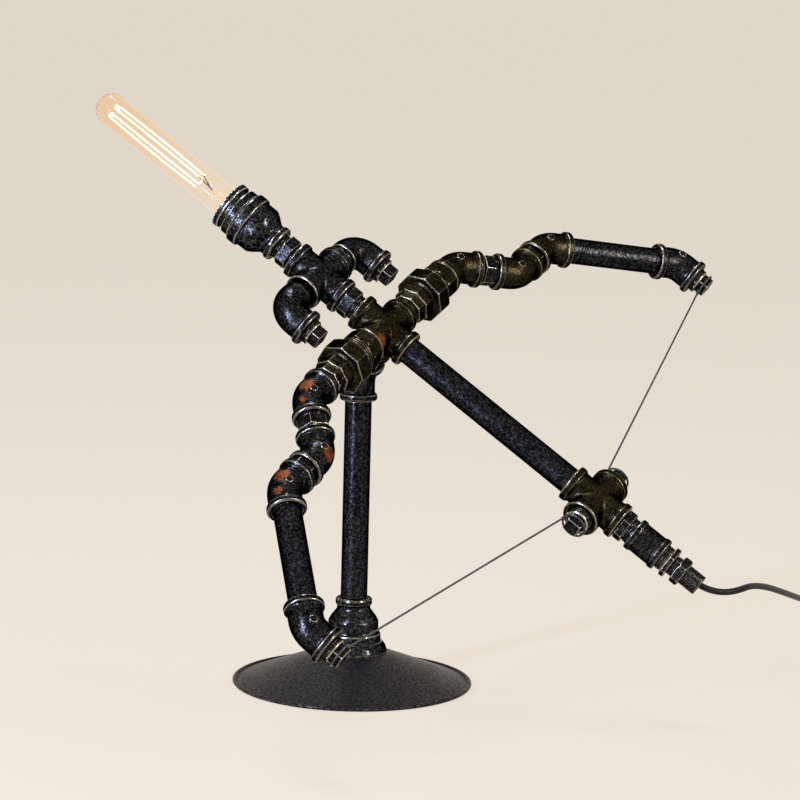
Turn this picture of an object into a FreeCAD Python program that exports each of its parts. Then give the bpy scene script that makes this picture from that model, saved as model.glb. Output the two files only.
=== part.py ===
import FreeCAD, Part
import math
import os

import Sketcher
from FreeCAD import Placement, Rotation, Vector

# Table lamp built from half-inch iron pipe fittings in the form of a crossbow.
# Millimetres, +Z up. The origin is the centre of the base on the table, and the post stands on Z.
# The bow lies in a tilted plane: its stock (called the arrow here) carries the bulb at the head.

NUMBERS = {
    # Half-inch pipe and the threads of its fittings.
    "pipe_radius": 10.65,
    "pipe_bore": 8.0,
    "thread_crest": 10.35,
    "thread_root": 9.5,
    "thread_pitch": 1.814,
    "thread_out": 2.6,
    "thread_play": 0.2,
    "engagement": 12.0,
    "socket_relief": 1.0,
    "mouth": 0.9,
    # Three-eighths pipe at the tail end of the stock.
    "small_thread_crest": 8.35,
    "small_thread_root": 7.6,
    "small_pitch": 1.337,
    "small_bore": 6.25,
    "small_engagement": 10.0,
    # Malleable iron fittings.
    "bead_radius": 14.9,
    "bead_length": 6.0,
    "bead_round": 1.3,
    "casting_radius": 12.9,
    "cross_reach": 25.0,
    "elbow_reach": 20.5,
    "elbow_bend": 17.6,
    "mark_radius": 3.2,
    "mark_height": 0.5,
    "street_male_reach": 25.5,
    "street_female_reach": 26.0,
    "street_bend": 13.5,
    "street_collar": 6.5,
    # Hexagons, measured across their flats.
    "nipple_flats": 22.5,
    "long_hex": 9.5,
    "short_hex": 5.0,
    "tail_hex": 7.1,
    "thin_hex": 4.5,
    "hex_chamfer": 1.0,
    # Gaps between the faces of neighbouring fittings.
    "post_gap": 10.4,
    "neck_gap": 15.5,
    "head_gap": 15.5,
    "limb_long_gap": 13.2,
    "limb_short_gap": 5.6,
    "tail_gap": 12.0,
    "tail_hex_offset": 0.5,
    # Visible lengths of the pipes.
    "post_length": 158.5,
    "shaft_length": 161.0,
    "limb_length": 80.2,
    # Reducers at the base and under the lampholder.
    "reducer_length": 37.5,
    "reducer_bead_length": 6.5,
    "reducer_bead_radius": 14.6,
    "reducer_neck_radius": 13.3,
    "reducer_neck_top": 9.0,
    "reducer_cone_top": 18.5,
    "reducer_body_radius": 20.0,
    "reducer_band_length": 9.5,
    "reducer_band_radius": 22.0,
    "reducer_socket_radius": 17.2,
    "reducer_socket_depth": 17.0,
    # Square-headed plugs.
    "plug_thread_out": 5.0,
    "plug_square": 12.0,
    "plug_head": 8.0,
    # Unions in the limbs, along their axis from the male piece.
    "union_out_upper": 6.5,
    "union_out_lower": 2.5,
    "union_screw_show": 6.3,
    "union_small_hex": 7.2,
    "union_small_flats": 24.8,
    "union_large_hex": 11.0,
    "union_large_flats": 28.6,
    "nut_cone": 2.0,
    "nut_cone_radius": 15.8,
    "nut_grip": 14.0,
    "nut_flats": 38.6,
    "nut_wall": 4.0,
    "nut_running_play": 0.06,
    "nut_end_play": 0.35,
    "union_neck_radius": 12.2,
    "union_flange_radius": 15.2,
    "union_flange": 4.0,
    "union_screw_radius": 15.4,
    "union_thread_depth": 0.9,
    "union_pitch": 2.1,
    "barrel_octagon": 12.9,
    "barrel_flats": 29.6,
    # Tail end of the stock.
    "coupling_length": 28.0,
    "coupling_bead": 5.5,
    "coupling_bead_radius": 13.3,
    "coupling_radius": 12.3,
    "tail_end_gap": 5.5,
    "tail_end_length": 26.5,
    "locknut_offset": 4.7,
    "locknut_height": 7.3,
    "locknut_flats": 20.5,
    "gland_depth": 12.5,
    "gland_length": 6.0,
    "gland_play": 0.05,
    # Base.
    "rim_radius": 95.6,
    "rim_lift": 0.5,
    "rim_bead": 3.2,
    "rim_groove": 2.2,
    "dish_wall": 1.5,
    "dish_top": 26.8,
    "dish_shoulder": 27.5,
    "collar_foot": 27.3,
    "collar_seat": 33.0,
    "collar_top": 35.6,
    "collar_lip": 1.6,
    "stud_radius": 12.0,
    "stud_drop": 16.0,
    "stud_engagement": 15.0,
    "weight_hub": 20.0,
    "weight_web": 6.0,
    "weight_ring": 42.0,
    "weight_radius": 86.0,
    "seat_gap": 0.3,
    "pad_inner": 30.0,
    "pad_radius": 88.0,
    "pad_height": 2.0,
    # Lampholder.
    "holder_radius": 19.8,
    "holder_length": 10.5,
    "holder_band": 7.0,
    "holder_neck": 17.4,
    "holder_wall": 1.2,
    "holder_floor": 2.0,
    "ring_radius": 19.4,
    "ring_root": 18.3,
    "ring_height": 4.7,
    "ring_teeth": 30.0,
    "ring_play": 0.06,
    "core_radius": 15.6,
    "core_wall": 1.5,
    "core_floor": 3.0,
    "core_boss": 4.4,
    "shell_wall": 0.5,
    "contact_radius": 5.0,
    "contact_height": 1.2,
    # Bulb with a screw cap.
    "glass_radius": 13.0,
    "glass_wall": 0.8,
    "glass_length": 134.5,
    "glass_neck_radius": 11.8,
    "glass_neck": 9.0,
    "cap_crest": 13.0,
    "cap_root": 12.4,
    "cap_length": 16.5,
    "cap_pitch": 3.6,
    "cap_cone": 5.0,
    "cap_tip_radius": 5.0,
    "cap_tip": 2.0,
    "cap_play": 0.4,
    "stem_radius": 2.6,
    "stem_length": 27.0,
    "filament_start": 14.0,
    "filament_clearance": 16.5,
    "filament_circle": 6.0,
    "filament_wire": 0.35,
    "filament_strands": 8.0,
    # Bow strings.
    "string_radius": 0.8,
    "string_play": 0.15,
    "knot_radius": 1.5,
    # Flex, cord, inline switch and mains plug.
    "cord_radius": 2.5,
    "coil_radius": 37.2,
    "coil_pitch": 5.7,
    "coil_layer": 5.7,
    "switch_east": 480.0,
    "switch_north": 112.0,
    "switch_straight": 16.0,
    "coil_turns": 8.5,
    "plug_lead": 30.0,
    "switch_length": 62.0,
    "switch_width": 26.0,
    "switch_height": 19.0,
    "switch_axis": 7.0,
    "switch_round": 5.0,
    "rocker_width": 11.0,
    "rocker_radius": 9.0,
    "rocker_play": 0.5,
    "rocker_tilt": 8.0,
    "plug_width": 35.0,
    "plug_length": 36.0,
    "plug_taper": 12.0,
    "plug_face_width": 22.0,
    "pin_radius": 2.0,
    "pin_length": 19.0,
    "pin_spacing": 18.6,
    "pin_sunk": 6.0,
    # Angles in degrees: the elbows, and how the bow is turned and rolled.
    "half_bend": 45.0,
    "full_bend": 90.0,
    "bow_turn": 28.82,
    "bow_roll": 54.95,
    "upper_tail_spin": 17.5,
    "upper_nut_spin": 11.5,
    "lower_tail_spin": 34.0,
    "lower_nut_spin": 2.5,
}

doc = FreeCAD.newDocument("PipeLamp")


class Size:
    """A number of the sheet, or a sum of them, with the expression that gives it."""

    def __init__(self, value, text):
        self.value = float(value)
        self.text = text

    @staticmethod
    def of(other):
        return other if isinstance(other, Size) else Size(other, repr(float(other)))

    def join(self, other, sign, value):
        return Size(value, "(" + self.text + " " + sign + " " + other.text + ")")

    def __add__(self, other):
        other = Size.of(other)
        return self.join(other, "+", self.value + other.value)

    def __sub__(self, other):
        other = Size.of(other)
        return self.join(other, "-", self.value - other.value)

    def __mul__(self, other):
        other = Size.of(other)
        return self.join(other, "*", self.value * other.value)

    def __truediv__(self, other):
        other = Size.of(other)
        return self.join(other, "/", self.value / other.value)

    def __rsub__(self, other):
        return Size.of(other) - self

    def __neg__(self):
        return Size.of(0) - self

    __radd__ = __add__
    __rmul__ = __mul__

    def __float__(self):
        return self.value


class Sizes:
    """The driving dimensions, kept in the document's spreadsheet."""

    def __init__(self, numbers):
        self.sheet = doc.addObject("Spreadsheet::Sheet", "Sizes")
        self.known = {}
        for row, (word, number) in enumerate(numbers.items(), 1):
            self.sheet.set("A" + str(row), word)
            self.sheet.set("B" + str(row), str(number))
            self.sheet.setAlias("B" + str(row), word)
            self.known[word] = Size(number, "Sizes." + word)

    def __getattr__(self, word):
        return self.known[word]


size = Sizes(NUMBERS)
doc.recompute()
nodes = {}
serial = [0]

EAST, NORTH, UP = Vector(1, 0, 0), Vector(0, 1, 0), Vector(0, 0, 1)


def add(kind, hint):
    """A new object of the document under a name of its own."""
    serial[0] += 1
    return doc.addObject(kind, hint + "_" + str(serial[0]))


def bind(thing, prop, amount):
    """Set a property and, where the amount comes from the sheet, tie it to the sheet."""
    amount = Size.of(amount)
    if not prop.startswith("Placement"):
        setattr(thing, prop, amount.value)
    if "Sizes." in amount.text:
        thing.setExpression(prop, amount.text)


def shift(thing, x=0, y=0, z=0, turn=None):
    """Place a primitive inside its piece, each offset tied to the sheet."""
    offsets = [Size.of(v) for v in (x, y, z)]
    thing.Placement = Placement(Vector(*[v.value for v in offsets]), turn or Rotation())
    for axis, offset in zip("xyz", offsets):
        bind(thing, "Placement.Base." + axis, offset)
    return thing


def finish(thing, name, place=None):
    """Name a piece, stand it in the lamp and keep it for writing."""
    thing.Label = name
    thing.Placement = place or Placement()
    nodes[name] = thing
    return thing


def draw(sketch, outline):
    """Draw a closed outline of (across, along) corners, each held by the sheet."""
    corners = [(Size.of(r), Size.of(z)) for r, z in outline]
    points = [Vector(r.value, z.value, 0) for r, z in corners]
    count = len(points)
    sketch.addGeometry([Part.LineSegment(points[i], points[(i + 1) % count]) for i in range(count)], False)
    rules = [Sketcher.Constraint("Coincident", i, 2, (i + 1) % count, 1) for i in range(count)]
    bound = []
    for i, corner in enumerate(corners):
        for kind, axis, amount in (("DistanceX", -2, corner[0]), ("DistanceY", -1, corner[1])):
            if amount.value == 0:
                rules.append(Sketcher.Constraint("PointOnObject", i, 1, axis))
            else:
                bound.append((len(rules), amount))
                rules.append(Sketcher.Constraint(kind, -1, 1, i, 1, amount.value))
    sketch.addConstraint(rules)
    for index, amount in bound:
        if "Sizes." in amount.text:
            sketch.setExpression("Constraints[" + str(index) + "]", amount.text)


def turned_body(outline):
    """A turned piece: one outline revolved about its own Z axis."""
    body = add("PartDesign::Body", "Turned")
    sketch = body.newObject("Sketcher::SketchObject", body.Name + "_outline")
    plane = [p for p in body.Origin.OriginFeatures if p.Role == "XZ_Plane"][0]
    sketch.AttachmentSupport = [(plane, "")]
    sketch.MapMode = "FlatFace"
    draw(sketch, outline)
    turn = body.newObject("PartDesign::Revolution", body.Name + "_turn")
    turn.Profile = sketch
    turn.ReferenceAxis = (sketch, ["V_Axis"])
    turn.Angle = 360
    body.Tip = turn
    return body


def padded_body(outline, depth, base=0):
    """A plate: an outline in the XY plane padded upwards."""
    body = add("PartDesign::Body", "Plate")
    sketch = body.newObject("Sketcher::SketchObject", body.Name + "_outline")
    plane = [p for p in body.Origin.OriginFeatures if p.Role == "XY_Plane"][0]
    sketch.AttachmentSupport = [(plane, "")]
    sketch.MapMode = "FlatFace"
    draw(sketch, outline)
    pad = body.newObject("PartDesign::Pad", body.Name + "_pad")
    pad.Profile = sketch
    bind(pad, "Length", depth)
    body.Tip = pad
    return body


def upright_sketch(outline):
    """An outline in the XZ plane for solids that several parts of a casting share."""
    sketch = add("Sketcher::SketchObject", "Outline")
    sketch.Placement = Placement(Vector(), Rotation(EAST, 90))
    draw(sketch, outline)
    return sketch


def revolved(sketch, place=None):
    """The solid of revolution of a shared outline about Z, then laid along an outlet."""
    solid = add("Part::Revolution", "Solid")
    solid.Source = sketch
    solid.Axis = UP
    solid.Base = Vector()
    solid.Angle = 360
    solid.Solid = True
    solid.Placement = place or Placement()
    return solid


def cylinder(radius, length):
    solid = add("Part::Cylinder", "Round")
    bind(solid, "Radius", radius)
    bind(solid, "Height", length)
    return solid


def box(x, y, z):
    solid = add("Part::Box", "Block")
    for prop, amount in (("Length", x), ("Width", y), ("Height", z)):
        bind(solid, prop, amount)
    return solid


def prism(sides, flats, length):
    """A regular prism given by the distance across its flats."""
    solid = add("Part::Prism", "Prism")
    solid.Polygon = sides
    bind(solid, "Circumradius", flats * (0.5 / math.cos(math.pi / sides)))
    bind(solid, "Height", length)
    return solid


def torus(ring, radius, angle):
    solid = add("Part::Torus", "Bend")
    bind(solid, "Radius1", ring)
    bind(solid, "Radius2", radius)
    bind(solid, "Angle3", angle)
    return solid


def fuse(solids):
    joined = add("Part::MultiFuse", "Joined")
    joined.Shapes = list(solids)
    joined.Refine = False
    return joined


def cut(base, tool):
    result = add("Part::Cut", "Hollowed")
    result.Base, result.Tool = base, tool
    return result


def common(base, tool):
    result = add("Part::Common", "Trimmed")
    result.Base, result.Tool = base, tool
    return result


def group(solids, name):
    joined = add("Part::Compound", "Group")
    joined.Links = list(solids)
    return finish(joined, name)


def frame(origin, along, across=None):
    """The placement whose Z runs along a direction and whose X leans to another."""
    return Placement(origin, Rotation(across or EAST, Vector(), along, "ZXY"))


def ridges(low, high, crest, root, pitch):
    """Corners of a ridged thread from one height to another."""
    count = max(1, round((high.value - low.value) / pitch.value))
    step = (high - low) * (1.0 / count)
    corners = []
    for k in range(count):
        corners += [(root, low + step * (k + 0.08)), (crest, low + step * (k + 0.45)),
                    (crest, low + step * (k + 0.6)), (root, low + step * (k + 0.97))]
    return corners


def thread(low, high):
    return ridges(low, high, size.thread_crest, size.thread_root, size.thread_pitch)


def small_thread(low, high):
    return ridges(low, high, size.small_thread_crest, size.small_thread_root, size.small_pitch)


def tube_outline(bore, outer):
    """Close an outer outline, given upwards, with a plain bore."""
    return outer + [(bore, outer[-1][1]), (bore, outer[0][1])]


# Radii and lengths that follow from the sheet.
shank = size.thread_crest - 0.05
socket = shank + size.thread_play
socket_depth = size.engagement + size.socket_relief
small_shank = size.small_thread_crest - 0.05
small_socket = small_shank + size.thread_play
union_length = (size.union_out_upper + size.union_small_hex + size.union_large_hex + size.nut_cone
                + size.nut_grip + size.nut_end_play + size.union_screw_show + size.barrel_octagon)

# Directions: the post leads up through a 45 degree elbow to the bow's normal.
# "tailward" runs along the stock from the bulb to the cord, "limbward" to the upper limb.
bend, turn_angle, roll = (math.radians(size.known[k].value) for k in ("half_bend", "bow_turn", "bow_roll"))
normal = Vector(math.sin(bend) * math.sin(turn_angle), -math.sin(bend) * math.cos(turn_angle), math.cos(bend))
level = UP.cross(normal).normalize()
rise = normal.cross(level).normalize()
tailward = level * math.cos(roll) - rise * math.sin(roll)
limbward = level * math.sin(roll) + rise * math.cos(roll)

# Places: centres of the fittings.
reducer_foot = size.collar_seat
post_foot = reducer_foot + size.reducer_length
elbow_height = post_foot + size.post_length + size.elbow_reach
post_elbow_at = UP * elbow_height.value
centre_at = post_elbow_at + normal * (size.elbow_reach + size.post_gap + size.cross_reach).value
head_at = centre_at - tailward * (size.cross_reach * 2 + size.neck_gap).value
tail_at = centre_at + tailward * (size.cross_reach * 2 + size.shaft_length).value


def along(origin, direction, amount):
    return origin + direction * Size.of(amount).value


# Castings: outlets with a beaded mouth, joined at their centre.

def outlet_outline(start, reach):
    body, bead, edge = size.casting_radius, size.bead_radius, size.bead_round
    foot = reach - size.bead_length
    return [(0, start), (body, start), (body, foot), (bead - edge * 0.4, foot + edge * 0.5),
            (bead, foot + edge), (bead, reach - edge), (bead - edge * 0.4, reach - edge * 0.4),
            (bead - edge, reach), (0, reach)]


def bore_outline(start, reach):
    floor = reach - socket_depth
    return [(0, start), (size.pipe_bore, start), (size.pipe_bore, floor), (socket, floor),
            (socket, reach - size.mouth), (socket + size.mouth, reach), (socket + size.mouth, reach + 1),
            (0, reach + 1)]


def cross_fitting(name, place, directions):
    """A cross: one beaded outlet for each direction, bored through."""
    skin = upright_sketch(outlet_outline(Size.of(0), size.cross_reach))
    hole = upright_sketch(bore_outline(Size.of(0), size.cross_reach))
    turns = [Placement(Vector(), Rotation(UP, direction)) for direction in directions]
    solid = cut(fuse([revolved(skin, t) for t in turns]), fuse([revolved(hole, t) for t in turns]))
    return finish(solid, name, place)


def bend_frame(origin, inlet, outlet, angle):
    """Place an elbow whose outlets point along two directions from its centre."""
    ahead = inlet * -1
    side = (ahead * math.cos(angle) - outlet) * (1 / math.sin(angle))
    return Placement(origin, Rotation(side, ahead, side.cross(ahead), "YXZ"))


def bend_parts(radius, bend_size, angle, turns):
    """The curved middle of an elbow and the tangent length on each side of its centre."""
    reach = bend_size * math.tan(math.radians(angle.value) / 2)
    return shift(torus(bend_size, radius, angle), -bend_size, -reach, 0), reach


def elbow_turns(angle):
    """How the first and second outlets of an elbow stand in its own frame."""
    bent = math.radians(angle.value)
    first = Placement(Vector(), Rotation(UP, NORTH * -1))
    second = Placement(Vector(), Rotation(UP, Vector(-math.sin(bent), math.cos(bent), 0)))
    return first, second


def elbow(name, origin, inlet, outlet):
    """A 45 degree elbow with two beaded outlets and a round mould mark on each side."""
    angle = size.half_bend
    first, second = elbow_turns(angle)
    middle, tangent = bend_parts(size.casting_radius, size.elbow_bend, angle, None)
    hollow, _ = bend_parts(size.pipe_bore, size.elbow_bend, angle, None)
    skin = upright_sketch(outlet_outline(tangent, size.elbow_reach))
    hole = upright_sketch(bore_outline(tangent, size.elbow_reach))
    half = size.casting_radius + size.mark_height
    mark = shift(cylinder(size.mark_radius, half * 2), z=-half)
    shell = fuse([revolved(skin, first), revolved(skin, second), middle, mark])
    space = fuse([revolved(hole, first), revolved(hole, second), hollow])
    return finish(cut(shell, space), name, bend_frame(origin, inlet, outlet, math.radians(angle.value)))


def street_elbow(name, origin, inlet, outlet):
    """A right-angled elbow with a male thread at its inlet and a beaded outlet."""
    angle = size.full_bend
    first, second = elbow_turns(angle)
    middle, tangent = bend_parts(size.casting_radius, size.street_bend, angle, None)
    hollow, _ = bend_parts(size.pipe_bore, size.street_bend, angle, None)
    collar = size.street_male_reach - size.street_collar
    end = size.street_male_reach + size.engagement
    male = [(0, tangent), (size.casting_radius, tangent), (size.casting_radius, collar),
            (size.thread_crest, collar + 0.8)]
    male += thread(collar + 1.2, size.street_male_reach)
    male += [(shank, size.street_male_reach), (shank, end), (0, end)]
    through = [(0, tangent), (size.pipe_bore, tangent), (size.pipe_bore, end + 1), (0, end + 1)]
    skin = upright_sketch(outlet_outline(tangent, size.street_female_reach))
    hole = upright_sketch(bore_outline(tangent, size.street_female_reach))
    shell = fuse([revolved(upright_sketch(male), first), revolved(skin, second), middle])
    space = fuse([revolved(upright_sketch(through), first), revolved(hole, second), hollow])
    return finish(cut(shell, space), name, bend_frame(origin, inlet, outlet, math.radians(angle.value)))


# Pipes, nipples, reducers and plugs: turned pieces that reach into the fittings' sockets.

def pipe(name, origin, direction, length):
    """A pipe between two sockets, whose threads show a little beside each."""
    grip = size.engagement
    near, far = grip + size.thread_out, grip + length - size.thread_out
    outer = [(shank, Size.of(0)), (shank, grip)] + thread(grip, near) + [(size.pipe_radius, near + 0.3)]
    outer += [(size.pipe_radius, far - 0.3)] + thread(far, grip + length)
    outer += [(shank, grip + length), (shank, grip * 2 + length)]
    return finish(turned_body(tube_outline(size.pipe_bore, outer)), name,
                  frame(along(origin, direction, -grip), direction))


def hexagon(flats, low, length, sides=6):
    """A nut's prism whose corners are turned off at both ends."""
    corner = flats * (0.5 / math.cos(math.pi / sides))
    flat = flats * 0.5 - 0.15
    drop = (corner - flat) * 0.6
    outline = [(0, low), (flat, low), (corner, low + drop), (corner, low + length - drop),
               (flat, low + length), (0, low + length)]
    return common(shift(prism(sides, flats, length), z=low), revolved(upright_sketch(outline)))


def bored(solids, bore, low, length):
    """Join solids and drill them through."""
    return cut(fuse(solids), shift(cylinder(bore, length + 2), z=low - 1))


def hex_nipple(origin, direction, gap, hex_length, offset=None):
    """A nipple with a hexagon between its two threads."""
    grip = size.engagement
    low = grip + (offset if offset is not None else (gap - hex_length) * 0.5)
    high = low + hex_length
    outer = [(0, Size.of(0)), (shank, Size.of(0)), (shank, grip)]
    outer += thread(grip, low) if (low - grip).value > 0.8 else []
    outer += [(shank, low + 0.2), (shank, high - 0.2)]
    outer += thread(high, grip + gap) if (grip + gap - high).value > 0.8 else []
    outer += [(shank, grip + gap), (shank, grip * 2 + gap), (0, grip * 2 + gap)]
    solid = bored([revolved(upright_sketch(outer)), hexagon(size.nipple_flats, low, hex_length)],
                  size.pipe_bore, Size.of(0), grip * 2 + gap)
    solid.Placement = frame(along(origin, direction, -grip), direction, direction.cross(normal))
    return solid


def reducer(name, origin, direction):
    """A bell reducer, from its small beaded mouth to its wide band."""
    total, bead, neck = size.reducer_length, size.reducer_bead_radius, size.reducer_neck_radius
    body, band = size.reducer_body_radius, size.reducer_band_radius
    edge, lip = size.bead_round, total - size.reducer_band_length
    floor = total - size.reducer_socket_depth
    outline = [(socket + size.mouth, 0), (bead - edge, 0), (bead, edge), (bead, size.reducer_bead_length - edge),
               (neck, size.reducer_bead_length), (neck, size.reducer_neck_top),
               (neck + (body - neck) * 0.7, size.reducer_cone_top - 3.4), (body, size.reducer_cone_top),
               (body, lip), (band - edge * 0.3, lip + edge * 0.4), (band, lip + edge), (band, total - edge),
               (band - edge, total), (size.reducer_socket_radius, total), (size.reducer_socket_radius, floor),
               (size.reducer_socket_radius - 3.5, floor), (size.pipe_bore, socket_depth + 1.5),
               (size.pipe_bore, socket_depth), (socket, socket_depth), (socket, size.mouth)]
    return finish(turned_body(outline), name, frame(origin, direction, normal))


def plug(origin, direction):
    """A square-headed plug screwed into a fitting, part of its thread left out."""
    grip = size.engagement
    top = grip + size.plug_thread_out
    outer = [(0, Size.of(0)), (shank, Size.of(0)), (shank, grip)] + thread(grip, top - 0.4)
    outer += [(shank, top - 0.3), (shank - 0.6, top), (0, top)]
    side = size.plug_square
    head = shift(box(side, side, size.plug_head + 1), side * -0.5, side * -0.5, top - 1)
    solid = fuse([revolved(upright_sketch(outer)), head])
    solid.Placement = frame(along(origin, direction, -grip), direction, normal)
    return solid


# Base: a spun dish with a cast weight inside, a collar and a stud under the reducer.

slope = (size.dish_top - size.rim_groove) / (size.rim_radius - size.rim_bead - size.dish_shoulder)


def dish_height(radius):
    """Height of the dish's upper surface at a radius on its cone."""
    return size.dish_top - (radius - size.dish_shoulder) * slope


def make_base():
    rim, lift, bead, sheet = size.rim_radius, size.rim_lift, size.rim_bead, size.dish_wall
    hole = size.stud_radius + size.thread_play
    shoulder = size.dish_shoulder
    fold = rim - bead
    dish = [(hole, size.dish_top), (shoulder, size.dish_top), (fold, dish_height(fold)),
            (rim - bead * 0.75, lift + bead), (rim - bead * 0.25, lift + bead), (rim, lift + bead * 0.7),
            (rim, lift + bead * 0.3), (rim - bead * 0.3, lift), (rim - bead * 0.8, lift),
            (fold - 1, lift + 0.2), (shoulder, size.dish_top - sheet), (hole, size.dish_top - sheet)]
    finish(turned_body(dish), "base_dish")

    foot, seat, top = size.dish_top, size.collar_seat, size.collar_top
    mouth = size.reducer_band_radius + 0.1
    lip = mouth + size.collar_lip
    rest = size.collar_foot
    collar = [(hole, foot), (rest, foot), (rest - 0.1, foot + (top - foot) * 0.22),
              (lip + (rest - lip) * 0.6, foot + (top - foot) * 0.62), (lip, top - 0.6), (lip - 0.7, top),
              (mouth, top), (mouth, seat), (hole, seat)]
    finish(turned_body(collar), "base_collar")

    drop = seat - size.stud_drop
    wide = size.reducer_socket_radius - size.thread_play
    stud = [(size.pipe_bore, drop), (size.stud_radius, drop), (size.stud_radius, seat), (wide, seat),
            (wide, seat + size.stud_engagement), (size.pipe_bore, seat + size.stud_engagement)]
    finish(turned_body(stud), "base_stud")

    low, ring, outer, hub = size.pad_height, size.weight_ring, size.weight_radius, size.weight_hub
    web = low + size.weight_web
    under = size.dish_wall * 1.1 + size.seat_gap
    weight = [(hole, low), (outer, low), (outer, dish_height(outer) - under), (ring, dish_height(ring) - under),
              (ring, web), (hub + 3, web), (hub, web + 4), (hub, size.dish_top - sheet),
              (hole, size.dish_top - sheet)]
    finish(turned_body(weight), "base_weight")
    finish(turned_body([(size.pad_inner, 0), (size.pad_radius, 0), (size.pad_radius, low), (size.pad_inner, low)]),
           "base_pad")
    reducer("base_reducer", UP * post_foot.value, UP * -1)


def make_post():
    pipe("post_pipe", UP * post_foot.value, UP, size.post_length)
    elbow("post_elbow", post_elbow_at, UP * -1, normal)
    finish_at = along(post_elbow_at, normal, size.elbow_reach)
    nipple = hex_nipple(finish_at, normal, size.post_gap, size.long_hex)
    finish(nipple, "post_nipple", nipple.Placement)


def make_stock():
    """The three crosses and what joins them."""
    bow = Rotation(tailward, limbward, normal, "ZXY")
    flat = [EAST, EAST * -1, NORTH, NORTH * -1]
    cross_fitting("centre_cross", Placement(centre_at, bow), flat + [UP * -1])
    cross_fitting("head_cross", Placement(head_at, bow), flat)
    cross_fitting("tail_cross", Placement(tail_at, bow), flat)
    pipe("shaft_pipe", along(centre_at, tailward, size.cross_reach), tailward, size.shaft_length)
    backward = tailward * -1
    neck = hex_nipple(along(centre_at, backward, size.cross_reach), backward, size.neck_gap, size.long_hex,
                      size.neck_gap - size.long_hex - 1.0)
    finish(neck, "neck_nipple", neck.Placement)
    head_face = along(head_at, backward, size.cross_reach)
    head = hex_nipple(head_face, backward, size.head_gap, size.long_hex, Size.of(2.5))
    finish(head, "head_nipple", head.Placement)
    reducer("head_reducer", along(head_face, backward, size.head_gap), backward)


def make_holder():
    """Lampholder, built outwards from the reducer's wide mouth along its own Z axis."""
    backward = tailward * -1
    mouth = along(head_at, backward, size.cross_reach + size.head_gap + size.reducer_length)
    depth = size.reducer_socket_depth - size.socket_relief
    place = frame(along(mouth, backward, -depth), backward, normal)
    wide = size.reducer_socket_radius - size.thread_play
    inner = size.core_radius + size.thread_play
    face = depth + size.holder_length
    edge = size.bead_round * 0.5
    body = [(size.cord_radius + 0.3, 0), (wide, 0), (wide, depth), (size.holder_radius, depth),
            (size.holder_radius, depth + size.holder_band - edge), (size.holder_radius - edge, depth + size.holder_band),
            (size.holder_neck, depth + size.holder_band), (size.holder_neck, face), (inner, face),
            (inner, size.holder_floor), (size.cord_radius + 0.3, size.holder_floor)]
    finish(turned_body(body), "lampholder_body", place)

    floor = size.holder_floor + size.core_floor
    front = face + size.core_boss
    cavity = size.core_radius - size.core_wall
    core = [(size.cord_radius + 0.3, size.holder_floor), (size.core_radius, size.holder_floor),
            (size.core_radius, front), (cavity, front), (cavity, floor), (size.cord_radius + 0.3, floor)]
    finish(turned_body(core), "lampholder_core", place)

    shell_outer = cavity - 0.1
    shell_inner = shell_outer - size.shell_wall
    shell = [(shell_inner, floor), (shell_outer, floor), (shell_outer, front - 0.5), (shell_inner, front - 0.5)]
    finish(turned_body(shell), "lampholder_shell", place)
    contact = [(0, floor), (size.contact_radius, floor), (size.contact_radius * 0.8, floor + size.contact_height),
               (0, floor + size.contact_height)]
    finish(turned_body(contact), "lampholder_contact", place)

    # The serrated ring turns on the core's boss, clear of the body's face.
    low = face + 0.3
    bore = size.core_radius + size.ring_play
    teeth = int(size.ring_teeth.value)
    blank = turned_body([(bore, low), (size.ring_root, low), (size.ring_root, low + size.ring_height),
                         (bore, low + size.ring_height)])
    tooth_width = size.ring_root * (math.pi / teeth)
    solids = [blank]
    for k in range(teeth):
        tooth = box(size.ring_radius - size.ring_root + 1, tooth_width, size.ring_height - 0.8)
        swing = Rotation(UP, 360.0 * k / teeth)
        tooth.Placement = Placement(swing.multVec(Vector((size.ring_root - 1).value, -tooth_width.value / 2,
                                                         (low + 0.4).value)), swing)
        solids.append(tooth)
    finish(fuse(solids), "lampholder_ring", place)
    return place, floor + size.contact_height, face


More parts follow.
